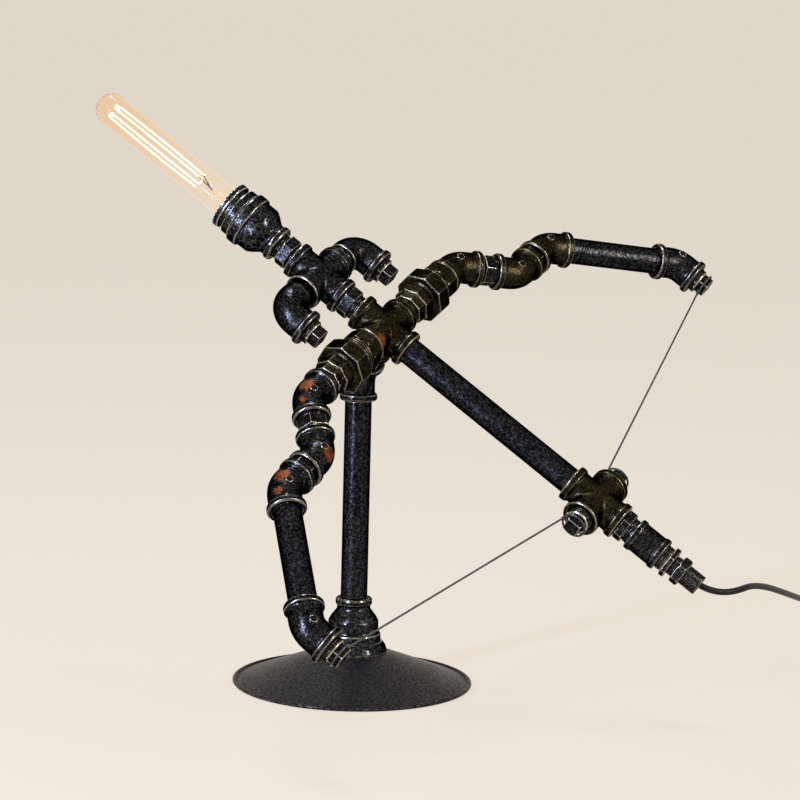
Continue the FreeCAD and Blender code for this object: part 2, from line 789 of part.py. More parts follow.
def make_bulb(place, contact_top, face):
    """Screw-capped tubular bulb, along the lampholder's axis."""
    tip = contact_top + 0.35
    foot = tip + size.cap_tip + size.cap_cone
    rim = foot + size.cap_length
    inner = size.glass_neck_radius + 0.1
    cap = [(0, tip), (size.cap_tip_radius - 1, tip), (size.cap_tip_radius, tip + size.cap_tip),
           (size.cap_root - 1.5, foot - 0.5), (size.cap_root - 0.3, foot)]
    cap += ridges(foot + 0.3, rim - 2.5, size.cap_crest, size.cap_root, size.cap_pitch)
    cap += [(size.cap_root, rim - 2.2), (size.cap_root, rim), (inner, rim), (inner, foot + 2.0), (0, foot + 2.0)]
    finish(turned_body(cap), "bulb_cap", place)

    neck_low = rim - size.glass_neck
    shoulder = rim + 0.2
    wall = size.glass_wall
    dome = size.holder_length.value
    end = face + size.core_boss + size.glass_length
    centre = end - size.glass_radius
    steps = [math.radians(a) for a in (0, 15, 30, 45, 60, 75)]
    outer = [(size.glass_neck_radius, neck_low), (size.glass_neck_radius, shoulder), (size.glass_radius, shoulder + 2)]
    outer += [(size.glass_radius * math.cos(a), centre + size.glass_radius * math.sin(a)) for a in steps]
    hollow = size.glass_radius - wall
    inside = [(hollow * math.cos(a), centre + hollow * math.sin(a)) for a in reversed(steps)]
    inside += [(hollow, shoulder + 2), (size.glass_neck_radius - wall, shoulder), (size.glass_neck_radius - wall, neck_low)]
    finish(turned_body(outer + [(0, end), (0, end - wall)] + inside), "bulb_glass", place)

    flare = size.glass_neck_radius - wall - 0.1
    top = neck_low + size.stem_length
    stem = [(0, neck_low), (flare, neck_low), (flare, neck_low + 1), (size.stem_radius + 2.5, neck_low + 4),
            (size.stem_radius, neck_low + 11), (size.stem_radius, top - 2), (size.stem_radius - 1, top), (0, top)]
    finish(turned_body(stem), "bulb_stem", place)
    make_filament(place, top, end)


def wire_between(start, end, radius):
    """A straight wire between two points."""
    rod = cylinder(radius, (end - start).Length)
    rod.Placement = Placement(start, Rotation(UP, end - start))
    return rod


def make_filament(place, stem_top, glass_end):
    """Hairpins of glowing wire round the axis, carried by two leads from the stem."""
    strands = int(size.filament_strands.value)
    low = (stem_top + size.filament_start).value
    high = (glass_end - size.filament_clearance).value
    circle, radius = size.filament_circle.value, size.filament_wire
    corner = lambda k, z: Vector(circle * math.cos(2 * math.pi * k / strands),
                                 circle * math.sin(2 * math.pi * k / strands), z)
    route = []
    for k in range(strands):
        ends = [low, high] if k % 2 == 0 else [high, low]
        route += [corner(k, z) for z in ends]
    sealed = (stem_top + radius + 0.03).value
    first = Vector(size.stem_radius.value * 0.4, 0, sealed)
    last = Vector(size.stem_radius.value * 0.4, -size.stem_radius.value * 0.3, sealed)
    route = [first] + route + [last]
    solids = [wire_between(start, end, radius) for start, end in zip(route, route[1:])]
    for point in route:
        ball = add("Part::Sphere", "Corner")
        bind(ball, "Radius", radius)
        ball.Placement = Placement(point, Rotation())
        solids.append(ball)
    finish(fuse(solids), "bulb_filament", place)


def facet_side(spin):
    """A corner's direction that turns a flat of an octagon by an angle from the bow's normal to the tail."""
    angle = math.radians(spin.value + 22.5)
    return normal * math.cos(angle) + tailward * math.sin(angle)


def make_barbs():
    """Street elbows on the head cross that turn back along the stock."""
    for side, name in ((1, "upper"), (-1, "lower")):
        out = limbward * side
        centre = along(head_at, out, size.cross_reach + size.street_male_reach)
        street_elbow("barb_elbow_" + name, centre, out * -1, tailward)


def union_parts(origin, direction, name, out, tail_spin, nut_spin):
    """A union along its axis: male piece, nut and barrel, all with eight flats."""
    grip = size.engagement
    small, large = size.union_small_hex, size.union_large_hex
    start = grip + out
    shoulder = start + small + large
    flange_low = shoulder + size.nut_wall + size.nut_end_play
    flange_top = flange_low + size.union_flange
    nut_top = shoulder + size.nut_cone + size.nut_grip
    foot = along(origin, direction, -grip)
    place, nut_place = (frame(foot, direction, facet_side(spin)) for spin in (tail_spin, nut_spin))

    male = [(0, Size.of(0)), (shank, Size.of(0)), (shank, grip)] + thread(grip, start)
    male += [(shank, start + 0.2), (shank, shoulder - 0.2), (size.union_neck_radius, shoulder - 0.2),
             (size.union_neck_radius, flange_low), (size.union_flange_radius, flange_low),
             (size.union_flange_radius, flange_top), (0, flange_top)]
    solid = bored([revolved(upright_sketch(male)), hexagon(size.union_small_flats, start, small, 8),
                   hexagon(size.union_large_flats, start + small, large, 8)], size.pipe_bore, Size.of(0), flange_top)
    finish(solid, "union_tail_" + name, place)

    low = shoulder + size.nut_end_play * 0.5
    corner = size.nut_flats * (0.5 / math.cos(math.pi / 8))
    hull = [(0, low), (size.nut_cone_radius - 1, low), (size.nut_cone_radius, low + 1),
            (corner, shoulder + size.nut_cone), (corner, nut_top - 1.2), (size.nut_flats * 0.5, nut_top),
            (0, nut_top)]
    block = common(shift(prism(8, size.nut_flats, nut_top - low), z=low), revolved(upright_sketch(hull)))
    neck = size.union_neck_radius + size.nut_running_play
    cavity = size.union_screw_radius + 0.4
    inside = [(0, low - 1), (neck, low - 1), (neck, shoulder + size.nut_wall), (cavity, shoulder + size.nut_wall),
              (cavity, nut_top + 1), (0, nut_top + 1)]
    finish(cut(block, revolved(upright_sketch(inside))), "union_nut_" + name, nut_place)

    face = grip + union_length
    octagon = face - size.barrel_octagon
    bare = nut_top - 1
    crest = size.union_screw_radius
    screw = [(0, flange_top), (crest, flange_top), (crest, bare)]
    screw += ridges(bare + 0.2, octagon - 0.2, crest, crest - size.union_thread_depth, size.union_pitch)
    screw += [(crest - size.union_thread_depth, octagon + 0.5), (shank, octagon + 0.5), (shank, face + grip),
              (0, face + grip)]
    solid = bored([revolved(upright_sketch(screw)), hexagon(size.barrel_flats, octagon, size.barrel_octagon, 8)],
                  size.pipe_bore, flange_top, face + grip - flange_top)
    finish(solid, "union_barrel_" + name, place)


def make_limbs():
    """Both limbs: union, four elbows, two nipples and a pipe each."""
    long_nipples, short_nipples, ends = [], [], {}
    reach, cross_reach = size.elbow_reach, size.cross_reach
    for side, name in ((1, "upper"), (-1, "lower")):
        out = limbward * side
        lean = (out + tailward).normalize()
        if side > 0:
            union_parts(along(centre_at, out, cross_reach), out, name, size.union_out_upper,
                        size.upper_tail_spin, size.upper_nut_spin)
        else:
            union_parts(along(centre_at, out, cross_reach + union_length), out * -1, name, size.union_out_lower,
                        size.lower_tail_spin, size.lower_nut_spin)
        one = along(centre_at, out, cross_reach + union_length + reach)
        two = along(one, lean, reach * 2 + size.limb_long_gap)
        three = along(two, out, reach * 2 + size.limb_short_gap)
        four = along(three, lean, reach * 2 + size.limb_length)
        elbow("elbow_1_" + name, one, out * -1, lean)
        elbow("elbow_2_" + name, two, lean * -1, out)
        elbow("elbow_3_" + name, three, out * -1, lean)
        elbow("elbow_4_" + name, four, lean * -1, tailward)
        long_nipples.append(hex_nipple(along(one, lean, reach), lean, size.limb_long_gap, size.long_hex))
        short_nipples.append(hex_nipple(along(two, out, reach), out, size.limb_short_gap, size.short_hex))
        pipe("limb_pipe_" + name, along(three, lean, reach), lean, size.limb_length)
        ends[side] = four
    group(long_nipples, "limb_nipples_long")
    group(short_nipples, "limb_nipples_short")
    return ends


def make_plugs(limb_ends):
    """Six equal plugs: barbs, limb ends and the two free outlets of the tail cross."""
    plugs = []
    for side in (1, -1):
        out = limbward * side
        barb = along(head_at, out, size.cross_reach + size.street_male_reach)
        plugs.append(plug(along(barb, tailward, size.street_female_reach), tailward))
        plugs.append(plug(along(limb_ends[side], tailward, size.elbow_reach), tailward))
        plugs.append(plug(along(tail_at, out, size.cross_reach), out))
    group(plugs, "pipe_plugs")


def make_strings(limb_ends):
    """Steel cables looped round the square heads of the limb and tail plugs."""
    loop = size.plug_square * (0.5 * math.sqrt(2)) + size.string_radius + size.string_play
    middle = size.plug_thread_out + size.plug_head * 0.5
    for side, name in ((1, "upper"), (-1, "lower")):
        out = limbward * side
        limb = along(limb_ends[side], tailward, size.elbow_reach + middle)
        tail = along(tail_at, out, size.cross_reach + middle)
        start = along(limb, out, -loop)
        end = along(tail, tailward, -loop)
        rings = []
        for centre, axis in ((limb, tailward), (tail, out)):
            ring = torus(loop, size.string_radius, 360)
            ring.Placement = frame(centre, axis)
            rings.append(ring)
        for point in (start, end):
            knot = add("Part::Sphere", "Knot")
            bind(knot, "Radius", size.knot_radius)
            knot.Placement = Placement(point, Rotation())
            rings.append(knot)
        finish(fuse(rings + [wire_between(start, end, size.string_radius)]), "string_" + name)


def make_tail():
    """What follows the tail cross: nipple, coupling, threaded end, locknut and gland."""
    face = along(tail_at, tailward, size.cross_reach)
    grip, small = size.engagement, size.small_engagement
    low = grip + size.tail_hex_offset
    high = low + size.tail_hex
    end = grip + size.tail_gap
    outer = [(0, Size.of(0)), (shank, Size.of(0)), (shank, low + 0.2), (small_shank, high - 0.2)]
    outer += small_thread(high, end) + [(small_shank, end), (small_shank, end + small), (0, end + small)]
    nipple = bored([revolved(upright_sketch(outer)), hexagon(size.nipple_flats, low, size.tail_hex)],
                   size.small_bore, Size.of(0), end + small)
    finish(nipple, "tail_nipple", frame(along(face, tailward, -grip), tailward, limbward))

    start = along(face, tailward, size.tail_gap)
    total, bead, wide, body = size.coupling_length, size.coupling_bead, size.coupling_bead_radius, size.coupling_radius
    edge, depth = size.bead_round * 0.7, small + size.socket_relief
    coupling = [(small_socket + 0.6, 0), (wide - edge, 0), (wide, edge), (wide, bead - edge), (body, bead),
                (body, total - bead), (wide, total - bead + edge), (wide, total - edge), (wide - edge, total),
                (small_socket + 0.6, total), (small_socket, total - 0.6), (small_socket, total - depth),
                (size.small_bore, total - depth), (size.small_bore, depth), (small_socket, depth),
                (small_socket, 0.6)]
    finish(turned_body(coupling), "tail_coupling", frame(start, tailward, normal))

    far = along(start, tailward, total)
    hex_low = small + size.tail_end_gap
    hex_high = hex_low + size.thin_hex
    last = hex_high + size.tail_end_length
    outer = [(0, Size.of(0)), (small_shank, Size.of(0)), (small_shank, small)] + small_thread(small, hex_low)
    outer += [(small_shank, hex_low + 0.2), (small_shank, hex_high - 0.2)]
    outer += small_thread(hex_high, last - 0.4) + [(size.small_thread_root, last), (0, last)]
    end_piece = bored([revolved(upright_sketch(outer)), hexagon(size.nipple_flats, hex_low, size.thin_hex)],
                      size.small_bore, Size.of(0), last)
    finish(end_piece, "tail_end_nipple", frame(along(far, tailward, -small), tailward, limbward))

    nut_low = hex_high + size.locknut_offset
    locknut = cut(hexagon(size.locknut_flats, nut_low, size.locknut_height),
                  shift(cylinder(size.small_thread_crest + 0.1, size.locknut_height + 2), z=nut_low - 1))
    finish(locknut, "tail_locknut", frame(along(far, tailward, -small), tailward, limbward))

    gland_top = last - size.gland_depth
    gland_radius = size.small_bore - size.gland_play
    gland = turned_body([(0, gland_top - size.gland_length), (gland_radius, gland_top - size.gland_length),
                         (gland_radius, gland_top - 0.8), (gland_radius - 0.8, gland_top), (0, gland_top)])
    finish(gland, "tail_gland", frame(along(far, tailward, -small), tailward, limbward))
    return along(far, tailward, gland_top - small), along(far, tailward, gland_top - small - size.gland_length)


def make_flex(back_of_gland):
    """The flex inside the stock, from the gland to the lampholder's contact."""
    backward = tailward * -1
    mouth = along(head_at, backward, size.cross_reach + size.head_gap + size.reducer_length)
    floor = along(mouth, backward, size.holder_floor + size.core_floor
                  - (size.reducer_socket_depth - size.socket_relief))
    length = (floor - back_of_gland).Length
    flex = cylinder(size.cord_radius, length)
    finish(flex, "inner_flex", frame(back_of_gland, backward))


# Cord: a free lead to the inline switch, the rest in a coil, and the mains plug.

def rounded_route(points):
    """Straight runs joined by arcs that are as large as their runs allow."""
    edges, radii, here = [], [], points[0]
    for before, corner, after in zip(points, points[1:], points[2:]):
        into, out = (corner - before), (after - corner)
        cut_back = 0.45 * min(into.Length, out.Length)
        a, b = into.normalize(), out.normalize()
        half = math.acos(max(-1.0, min(1.0, a.dot(b)))) / 2
        start, end = corner - a * cut_back, corner + b * cut_back
        radius = cut_back / math.tan(half)
        inward = (b - a).normalize()
        middle = corner + inward * (radius / math.cos(half) - radius)
        edges += [Part.LineSegment(here, start).toShape(), Part.Arc(start, middle, end).toShape()]
        radii.append(radius)
        here = end
    edges.append(Part.LineSegment(here, points[-1]).toShape())
    print("cord radii", [round(r, 1) for r in radii])
    return edges


def biarc(start, leave, end, arrive):
    """Two arcs that meet smoothly between two points with given directions."""
    chord, both = end - start, leave + arrive
    rest = 2 * (1 - leave.dot(arrive))
    if rest < 1e-9:
        reach = chord.dot(chord) / (4 * chord.dot(arrive))
    else:
        reach = (-chord.dot(both) + math.sqrt(chord.dot(both) ** 2 + rest * chord.dot(chord))) / rest
    near, far = start + leave * reach, end - arrive * reach
    joint = (near + far) * 0.5
    arcs = []
    for first, knee, last in ((start, near, joint), (joint, far, end)):
        chord_middle = (first + last) * 0.5
        half_chord, height = (last - first).Length / 2, (knee - chord_middle).Length
        bulge = half_chord * math.tan(math.atan2(height, half_chord) / 2)
        if height < 1e-6:
            arcs.append(Part.LineSegment(first, last).toShape())
        else:
            middle = chord_middle + (knee - chord_middle).normalize() * bulge
            arcs.append(Part.Arc(first, middle, last).toShape())
    return arcs


def tube(edges, radius, label):
    """A round tube along joined edges, its volume compared with section times length."""
    path = Part.Wire(edges)
    start = edges[0].valueAt(edges[0].FirstParameter)
    direction = edges[0].tangentAt(edges[0].FirstParameter)
    ring = Part.Wire([Part.makeCircle(radius, start, direction)])
    solid = path.makePipeShell([ring], True, False)
    length = path.Length
    print(label, "length", round(length, 1), "volume ratio",
          round(solid.Volume / (math.pi * radius * radius * length), 4))
    return solid, length


def least_gap(edges, radius, label):
    """Least gap of a wound tube to itself, measured on points along its middle."""
    points, walked, steps = [], [], 0.0
    for edge in edges:
        count = max(2, int(edge.Length / 2.0))
        for point in edge.discretize(count + 1)[:-1]:
            points.append(point)
    for k, point in enumerate(points):
        if k:
            steps += (point - points[k - 1]).Length
        walked.append(steps)
    least = 1e9
    for i in range(0, len(points)):
        for j in range(i + 1, len(points)):
            if walked[j] - walked[i] > 8 * radius:
                least = min(least, (points[i] - points[j]).Length)
    print(label, "least gap", round(least - 2 * radius, 2))


def as_feature(shape, name):
    piece = add("Part::Feature", "Cord")
    piece.Shape = shape
    return finish(piece, name, piece.Placement)


LEAD_POINTS = [(305.8, -81, 104.4), (321.2, -52, 97.8), (338.4, -12, 85.8), (356.2, 34, 72.3),
               (372.8, 80, 59.1), (392, 122, 44), (416, 150, 31), (446, 157, 19.5), (472, 144, 10.5)]


def make_cord(exit_point):
    radius = size.cord_radius.value
    axis = size.switch_axis.value
    first = along(exit_point, tailward, 9.7)
    aim = Vector(0.86, 0.50, 0.08).normalize()
    points = [exit_point, first]
    heading = tailward
    for part in (0.34, 0.67, 1.0):
        heading = (tailward * (1 - part) + aim * part).normalize()
        points.append(points[-1] + heading * 12.5)
    switch_in = EAST * size.switch_east.value + NORTH * size.switch_north.value + UP * axis
    points += [Vector(*p) for p in LEAD_POINTS] + [switch_in + NORTH * size.switch_straight.value, switch_in]
    lead, lead_length = tube(rounded_route(points), radius, "cord_lead")
    as_feature(lead, "cord_lead")

    coil_start = switch_in - NORTH * size.switch_length.value
    outer, pitch, layer = size.coil_radius.value, size.coil_pitch.value, size.coil_layer.value
    total = size.coil_turns.value * 2 * math.pi
    fall = 25.0
    drop = axis - radius
    bent = math.acos(1 - drop / (2 * fall))
    south = NORTH * -1
    straight = 2 * radius
    low_start = coil_start + south * straight
    step = fall * math.sin(bent)
    knee = low_start + south * step - UP * (drop / 2)
    low_end = low_start + south * (2 * step) - UP * drop
    rest = 2 * radius
    centre = low_end + south * rest - EAST * outer
    edges = [Part.LineSegment(coil_start, low_start).toShape()]
    for first_end, sign, begin, finish_at in ((0, -1, low_start, knee), (1, 1, knee, low_end)):
        half = bent / 2
        if sign < 0:
            middle = low_start + south * (fall * math.sin(half)) - UP * (fall * (1 - math.cos(half)))
        else:
            middle = low_end - south * (fall * math.sin(half)) + UP * (fall * (1 - math.cos(half)))
        edges.append(Part.Arc(begin, middle, finish_at).toShape())

    def spot(angle):
        inward = min(angle, total - angle)
        reach = outer - pitch * inward / (2 * math.pi)
        climb = (angle - (total / 2 - math.pi / 2)) / math.pi
        height = layer * (0.5 - 0.5 * math.cos(math.pi * max(0.0, min(1.0, climb))))
        return centre + Vector(reach * math.cos(angle), -reach * math.sin(angle), height)

    def heading_at(angle):
        small = 1e-3
        return (spot(angle + small) - spot(angle - small)).normalize()

    count = int(round(total / (math.pi / 2)))
    angles = [total * k / count for k in range(count + 1)]
    headings = [heading_at(angle) for angle in angles]
    headings[0], headings[-1] = south, NORTH
    edges.append(Part.LineSegment(low_end, spot(0)).toShape())
    for k in range(count):
        edges += biarc(spot(angles[k]), headings[k], spot(angles[k + 1]), headings[k + 1])
    plug_at = spot(total) + NORTH * size.plug_lead.value
    edges.append(Part.LineSegment(spot(total), plug_at).toShape())
    coil, coil_length = tube(edges, radius, "cord_coil")
    least_gap(edges, radius, "cord_coil")
    as_feature(coil, "cord_coil")
    print("whole cord", round(lead_length + coil_length, 1))
    return switch_in, plug_at


def make_switch(entry):
    """Inline switch lying on the table with a rocker in its top, the cord in its long axis."""
    length, width, height = size.switch_length, size.switch_width, size.switch_height
    nose = size.switch_round
    outline = [(nose, 0), (width - nose, 0), (width, nose), (width, length - nose), (width - nose, length),
               (nose, length), (0, length - nose), (0, nose)]
    block = padded_body(outline, height)
    play, radius = size.rocker_play, size.rocker_radius
    slot = shift(box(size.rocker_width + play * 2, radius * 2 + play * 2, height),
                 (width - size.rocker_width) * 0.5 - play, length * 0.5 - radius - play, height - radius * 0.95)
    corner = Placement(entry - UP * entry.z - NORTH * length.value - EAST * (width.value / 2), Rotation())
    finish(cut(block, slot), "switch_housing", corner)

    # The rocker's top is two slopes that meet over its pivot; it rests with one end pressed.
    tilt = math.tan(math.radians(size.rocker_tilt.value))
    low = radius * 0.55
    crown = height + 2.2 - (height - radius * 0.35)
    profile = [(Size.of(0), Size.of(0)), (radius * 2, Size.of(0)), (radius * 2, low + 1.0),
               (radius, low + 1.0 + radius * tilt), (Size.of(0), low + 1.0)]
    rocker = add("PartDesign::Body", "Rocker")
    sketch = rocker.newObject("Sketcher::SketchObject", rocker.Name + "_outline")
    plane = [p for p in rocker.Origin.OriginFeatures if p.Role == "XZ_Plane"][0]
    sketch.AttachmentSupport = [(plane, "")]
    sketch.MapMode = "FlatFace"
    draw(sketch, profile)
    pad = rocker.newObject("PartDesign::Pad", rocker.Name + "_pad")
    pad.Profile = sketch
    bind(pad, "Length", size.rocker_width)
    rocker.Tip = pad
    pivot = entry - UP * entry.z - NORTH * (length.value / 2) + UP * (height - radius * 0.35).value
    turn = Rotation(EAST, -size.rocker_tilt.value).multiply(Rotation(UP, 90))
    local = Vector(radius.value, -size.rocker_width.value / 2, (radius * 0.35).value)
    finish(rocker, "switch_rocker", Placement(pivot - turn.multVec(local), turn))
    return pivot


def make_plug(entry):
    """Flat two-pin plug at the end of the cord, lying on the table."""
    length, width, face = size.plug_length, size.plug_width, size.plug_face_width
    taper = size.plug_taper
    middle = width * 0.5
    outline = [(middle - taper * 0.5, 0), (middle + taper * 0.5, 0), (width, taper + 4), (width, length - 7),
               (middle + face * 0.5, length), (middle - face * 0.5, length), (0, length - 7), (0, taper + 4)]
    thick = Size.of(entry.z * 2)
    body = padded_body(outline, thick)
    bores, pins = [], []
    for side in (-1, 1):
        centre = middle + size.pin_spacing * (0.5 * side)
        for solids, radius, reach in ((bores, size.pin_radius + 0.02, 1), (pins, size.pin_radius, size.pin_length)):
            rod = shift(cylinder(radius, size.pin_sunk + reach), centre, length - size.pin_sunk, thick * 0.5,
                        Rotation(EAST, -90))
            solids.append(rod)
    corner = Placement(entry - UP * entry.z - EAST * middle.value, Rotation())
    finish(cut(body, fuse(bores)), "plug_body", corner)
    pair = add("Part::Compound", "Group")
    pair.Links = pins
    finish(pair, "plug_pins", corner)


make_base()
make_post()
make_stock()
holder_place, contact_level, holder_face = make_holder()
make_bulb(holder_place, contact_level, holder_face)
make_barbs()
limb_ends = make_limbs()
make_plugs(limb_ends)
make_strings(limb_ends)
cord_exit, gland_back = make_tail()
make_flex(gland_back)
switch_entry, plug_entry = make_cord(cord_exit)
rocker_pivot = make_switch(switch_entry)
make_plug(plug_entry)

doc.recompute()
faults = [thing.Name + " " + " ".join(thing.State) for thing in doc.Objects
          if "Invalid" in thing.State or "Error" in thing.State]
for name, piece in nodes.items():
    if piece.Shape.isNull() or not piece.Shape.isValid():
        faults.append(name + " has no valid shape")
if faults:
    raise RuntimeError("; ".join(faults))

print("cord exit", cord_exit, "rocker pivot", rocker_pivot, "plug", plug_entry)
for key, vector in (("tailward", tailward), ("limbward", limbward), ("normal", normal), ("centre", centre_at)):
    print(key, [round(v, 5) for v in vector])
os.makedirs("parts", exist_ok=True)
for name, piece in nodes.items():
    piece.Shape.exportStep("parts/" + name + ".step")
    print(name, len(piece.Shape.Solids), round(piece.Shape.Volume, 1))
print(len(nodes), "pieces")
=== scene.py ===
"""Table lamp of black iron pipe fittings in the form of a crossbow: its looks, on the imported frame.

Metres, +Z up, in the frame's own place. The bow lies in a tilted plane: `TAILWARD` runs down the stock
to the cord, `LIMBWARD` runs out along the upper limb and `BOW_NORMAL` stands on the plane, towards the
viewer.
"""
import logging
import math
from collections.abc import Callable, Iterable, Sequence
from dataclasses import dataclass, field
from enum import Enum

import bmesh
import bpy
import numpy as np
from mathutils import Matrix, Vector


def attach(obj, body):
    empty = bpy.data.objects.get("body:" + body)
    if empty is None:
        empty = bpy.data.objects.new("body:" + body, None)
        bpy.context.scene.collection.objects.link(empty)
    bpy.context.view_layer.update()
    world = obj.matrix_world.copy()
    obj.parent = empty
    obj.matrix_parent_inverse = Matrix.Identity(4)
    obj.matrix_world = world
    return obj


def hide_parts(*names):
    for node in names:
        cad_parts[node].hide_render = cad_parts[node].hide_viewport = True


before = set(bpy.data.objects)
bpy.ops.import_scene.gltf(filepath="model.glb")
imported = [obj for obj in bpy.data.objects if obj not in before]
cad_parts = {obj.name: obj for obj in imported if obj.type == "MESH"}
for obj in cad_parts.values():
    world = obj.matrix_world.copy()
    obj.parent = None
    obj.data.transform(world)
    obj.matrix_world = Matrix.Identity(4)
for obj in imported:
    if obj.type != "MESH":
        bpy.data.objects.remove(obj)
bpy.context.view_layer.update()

log = logging.getLogger("pipe_lamp")

MM = 0.001
# A half-inch pipe thread rises this much in a turn, in millimetres.
PIPE_PITCH = 1.814
# The same of the slim thread that the locknut runs on.
SLIM_PITCH = 1.337
TAILWARD = Vector((0.7822101, -0.2303311, -0.5788738))
LIMBWARD = Vector((0.5214946, 0.7504254, 0.4060851))
BOW_NORMAL = Vector((0.3408676, -0.6195234, 0.7071068))
UP = Vector((0.0, 0.0, 1.0))
CENTRE = Vector((19.0545, -34.6314, 289.0273)) * MM
HEAD = CENTRE - TAILWARD * (65.5 * MM)
TAIL = CENTRE + TAILWARD * (211.0 * MM)
MOUTH = CENTRE - TAILWARD * (143.5 * MM)
# The lampholder's foot lies this far inside the mouth, in millimetres.
HOLDER_DEPTH = 16.0
# Half the thickness of a thread's ridge, as a share of the pitch.
RIDGE_SHARE = 0.43
# Threads stand proud everywhere, so only this share of their wear is painted.
THREAD_WEAR = 0.28

Profile = list[tuple[float, float]]


class Body(Enum):
    """The frame's moving bodies."""

    LAMP = "lamp"
    BULB = "bulb"
    RING = "shade_ring"
    NUT_UPPER = "nut_upper"
    NUT_LOWER = "nut_lower"
    ROCKER = "rocker"


class Slot(Enum):
    """Names of material slots, handed to place_piece with each piece but not used by it."""

    IRON = "iron"
    GLOSS = "iron_gloss"
    BASE = "iron_base"
    FILAMENT = "filament"
    CABLE = "cable"
    FLEX = "flex"
    MOULDING = "moulding"
    PIN = "pin_brass"


# Colours and nodes


def linear(code: str) -> tuple[float, float, float, float]:
    """Turns an sRGB hex colour to linear.

    Args:
        code: six hex digits, with or without a leading hash.

    Returns:
        Red, green, blue and an alpha of one.
    """
    digits = code.lstrip("#")
    parts = [int(digits[i:i + 2], 16) / 255 for i in (0, 2, 4)]
    red, green, blue = (p / 12.92 if p <= 0.04045 else ((p + 0.055) / 1.055) ** 2.4 for p in parts)
    return red, green, blue, 1.0


def grain(size_mm: float) -> float:
    """Returns a texture's scale in metres from the size in millimetres of what it draws."""
    return 1.0 / (size_mm * MM)


def add_node(tree: bpy.types.NodeTree, kind: str, inputs: dict | None = None, **settings: object
             ) -> bpy.types.Node:
    """Adds a node with its settings, values and links.

    Args:
        tree: the tree that gets the node.
        kind: the node's type name.
        inputs: input name or number to a value, or to the output socket that is linked to it.
        settings: the node's own properties.

    Returns:
        The new node.
    """
    node = tree.nodes.new(kind)
    for name, value in settings.items():
        setattr(node, name, value)
    for key, value in (inputs or {}).items():
        if isinstance(value, bpy.types.NodeSocket):
            tree.links.new(value, node.inputs[key])
        else:
            node.inputs[key].default_value = value
    return node


def blank_material(name: str) -> tuple[bpy.types.Material, bpy.types.NodeTree, bpy.types.NodeSocket]:
    """Makes an empty node material.

    Args:
        name: the material's name.

    Returns:
        The material, its tree and the output node's surface socket.
    """
    material = bpy.data.materials.new(name)
    material.use_nodes = True
    tree = material.node_tree
    tree.nodes.clear()
    return material, tree, add_node(tree, "ShaderNodeOutputMaterial").inputs["Surface"]


def maths(tree: bpy.types.NodeTree, operation: str, *values: object) -> bpy.types.NodeSocket:
    """Adds a maths node.

    Args:
        tree: the tree that gets it.
        operation: what it does, by Blender's name.
        values: its operands, each a number or a socket.

    Returns:
        The result's socket.
    """
    return add_node(tree, "ShaderNodeMath", dict(enumerate(values)), operation=operation).outputs[0]


def noise(tree: bpy.types.NodeTree, place: bpy.types.NodeSocket, size_mm: float, detail: float,
          rough: float = 0.5) -> bpy.types.NodeSocket:
    """Adds cloudy noise.

    Args:
        tree: the tree that gets it.
        place: the socket of the place that is looked up.
        size_mm: the size of its clouds.
        detail: how many finer layers it has.
        rough: how strong the finer layers are.

    Returns:
        The socket of its strength, near a half on the whole.
    """
    inputs = {"Vector": place, "Scale": grain(size_mm), "Detail": detail, "Roughness": rough}
    return add_node(tree, "ShaderNodeTexNoise", inputs).outputs["Fac"]


def spread(tree: bpy.types.NodeTree, value: bpy.types.NodeSocket, source: tuple[float, float] = (0.0, 1.0),
           target: tuple[float, float] = (0.0, 1.0)) -> bpy.types.NodeSocket:
    """Maps one range of a value to another, and holds it at the ends.

    Args:
        tree: the tree that gets the node.
        value: the socket of the value.
        source: the range that it is read in.
        target: the range that it is written in.

    Returns:
        The result's socket.
    """
    inputs = {"Value": value, "From Min": source[0], "From Max": source[1],
              "To Min": target[0], "To Max": target[1]}
    return add_node(tree, "ShaderNodeMapRange", inputs).outputs["Result"]


def blend(tree: bpy.types.NodeTree, factor: bpy.types.NodeSocket, first: str | bpy.types.NodeSocket,
          second: str | bpy.types.NodeSocket) -> bpy.types.NodeSocket:
    """Mixes two colours.

    Args:
        tree: the tree that gets the node.
        factor: the socket of the second colour's share.
        first: a hex colour or a socket.
        second: a hex colour or a socket.

    Returns:
        The mixed colour's socket.
    """
    ends = [linear(colour) if isinstance(colour, str) else colour for colour in (first, second)]
    inputs = {"Factor": factor, 6: ends[0], 7: ends[1]}
    return add_node(tree, "ShaderNodeMix", inputs, data_type="RGBA").outputs[2]


def bumped(tree: bpy.types.NodeTree, height: bpy.types.NodeSocket, strength: float, deep_mm: float
           ) -> bpy.types.NodeSocket:
    """Bumps the surface.

    Args:
        tree: the tree that gets the node.
        height: the socket of the height, from nought to one.
        strength: the share of the bump that is kept.
        deep_mm: the depth that a height of one stands for.

    Returns:
        The normal's socket.
    """
    inputs = {"Strength": strength, "Distance": deep_mm * MM, "Height": height}
    return add_node(tree, "ShaderNodeBump", inputs).outputs["Normal"]


def attribute(tree: bpy.types.NodeTree, name: str) -> bpy.types.NodeSocket:
    """Returns the socket that reads a mesh's own attribute of that name."""
    return add_node(tree, "ShaderNodeAttribute", attribute_name=name).outputs["Fac"]


def ragged_wear(tree: bpy.types.NodeTree, break_up: bpy.types.NodeSocket, share: float,
                reach: tuple[float, float]) -> bpy.types.NodeSocket:
    """Turns the wear attribute to worn patches with broken edges.

    Args:
        tree: the tree that gets the nodes.
        break_up: the socket of the noise that breaks the edges up.
        share: how far the noise shifts the wear, from least to most.
        reach: the wear at which metal starts to show, and at which it is bare.

    Returns:
        The socket of how bare the metal is.
    """
    shift = maths(tree, "MULTIPLY_ADD", break_up, share, -share / 2)
    return spread(tree, maths(tree, "ADD", attribute(tree, "wear"), shift), reach)


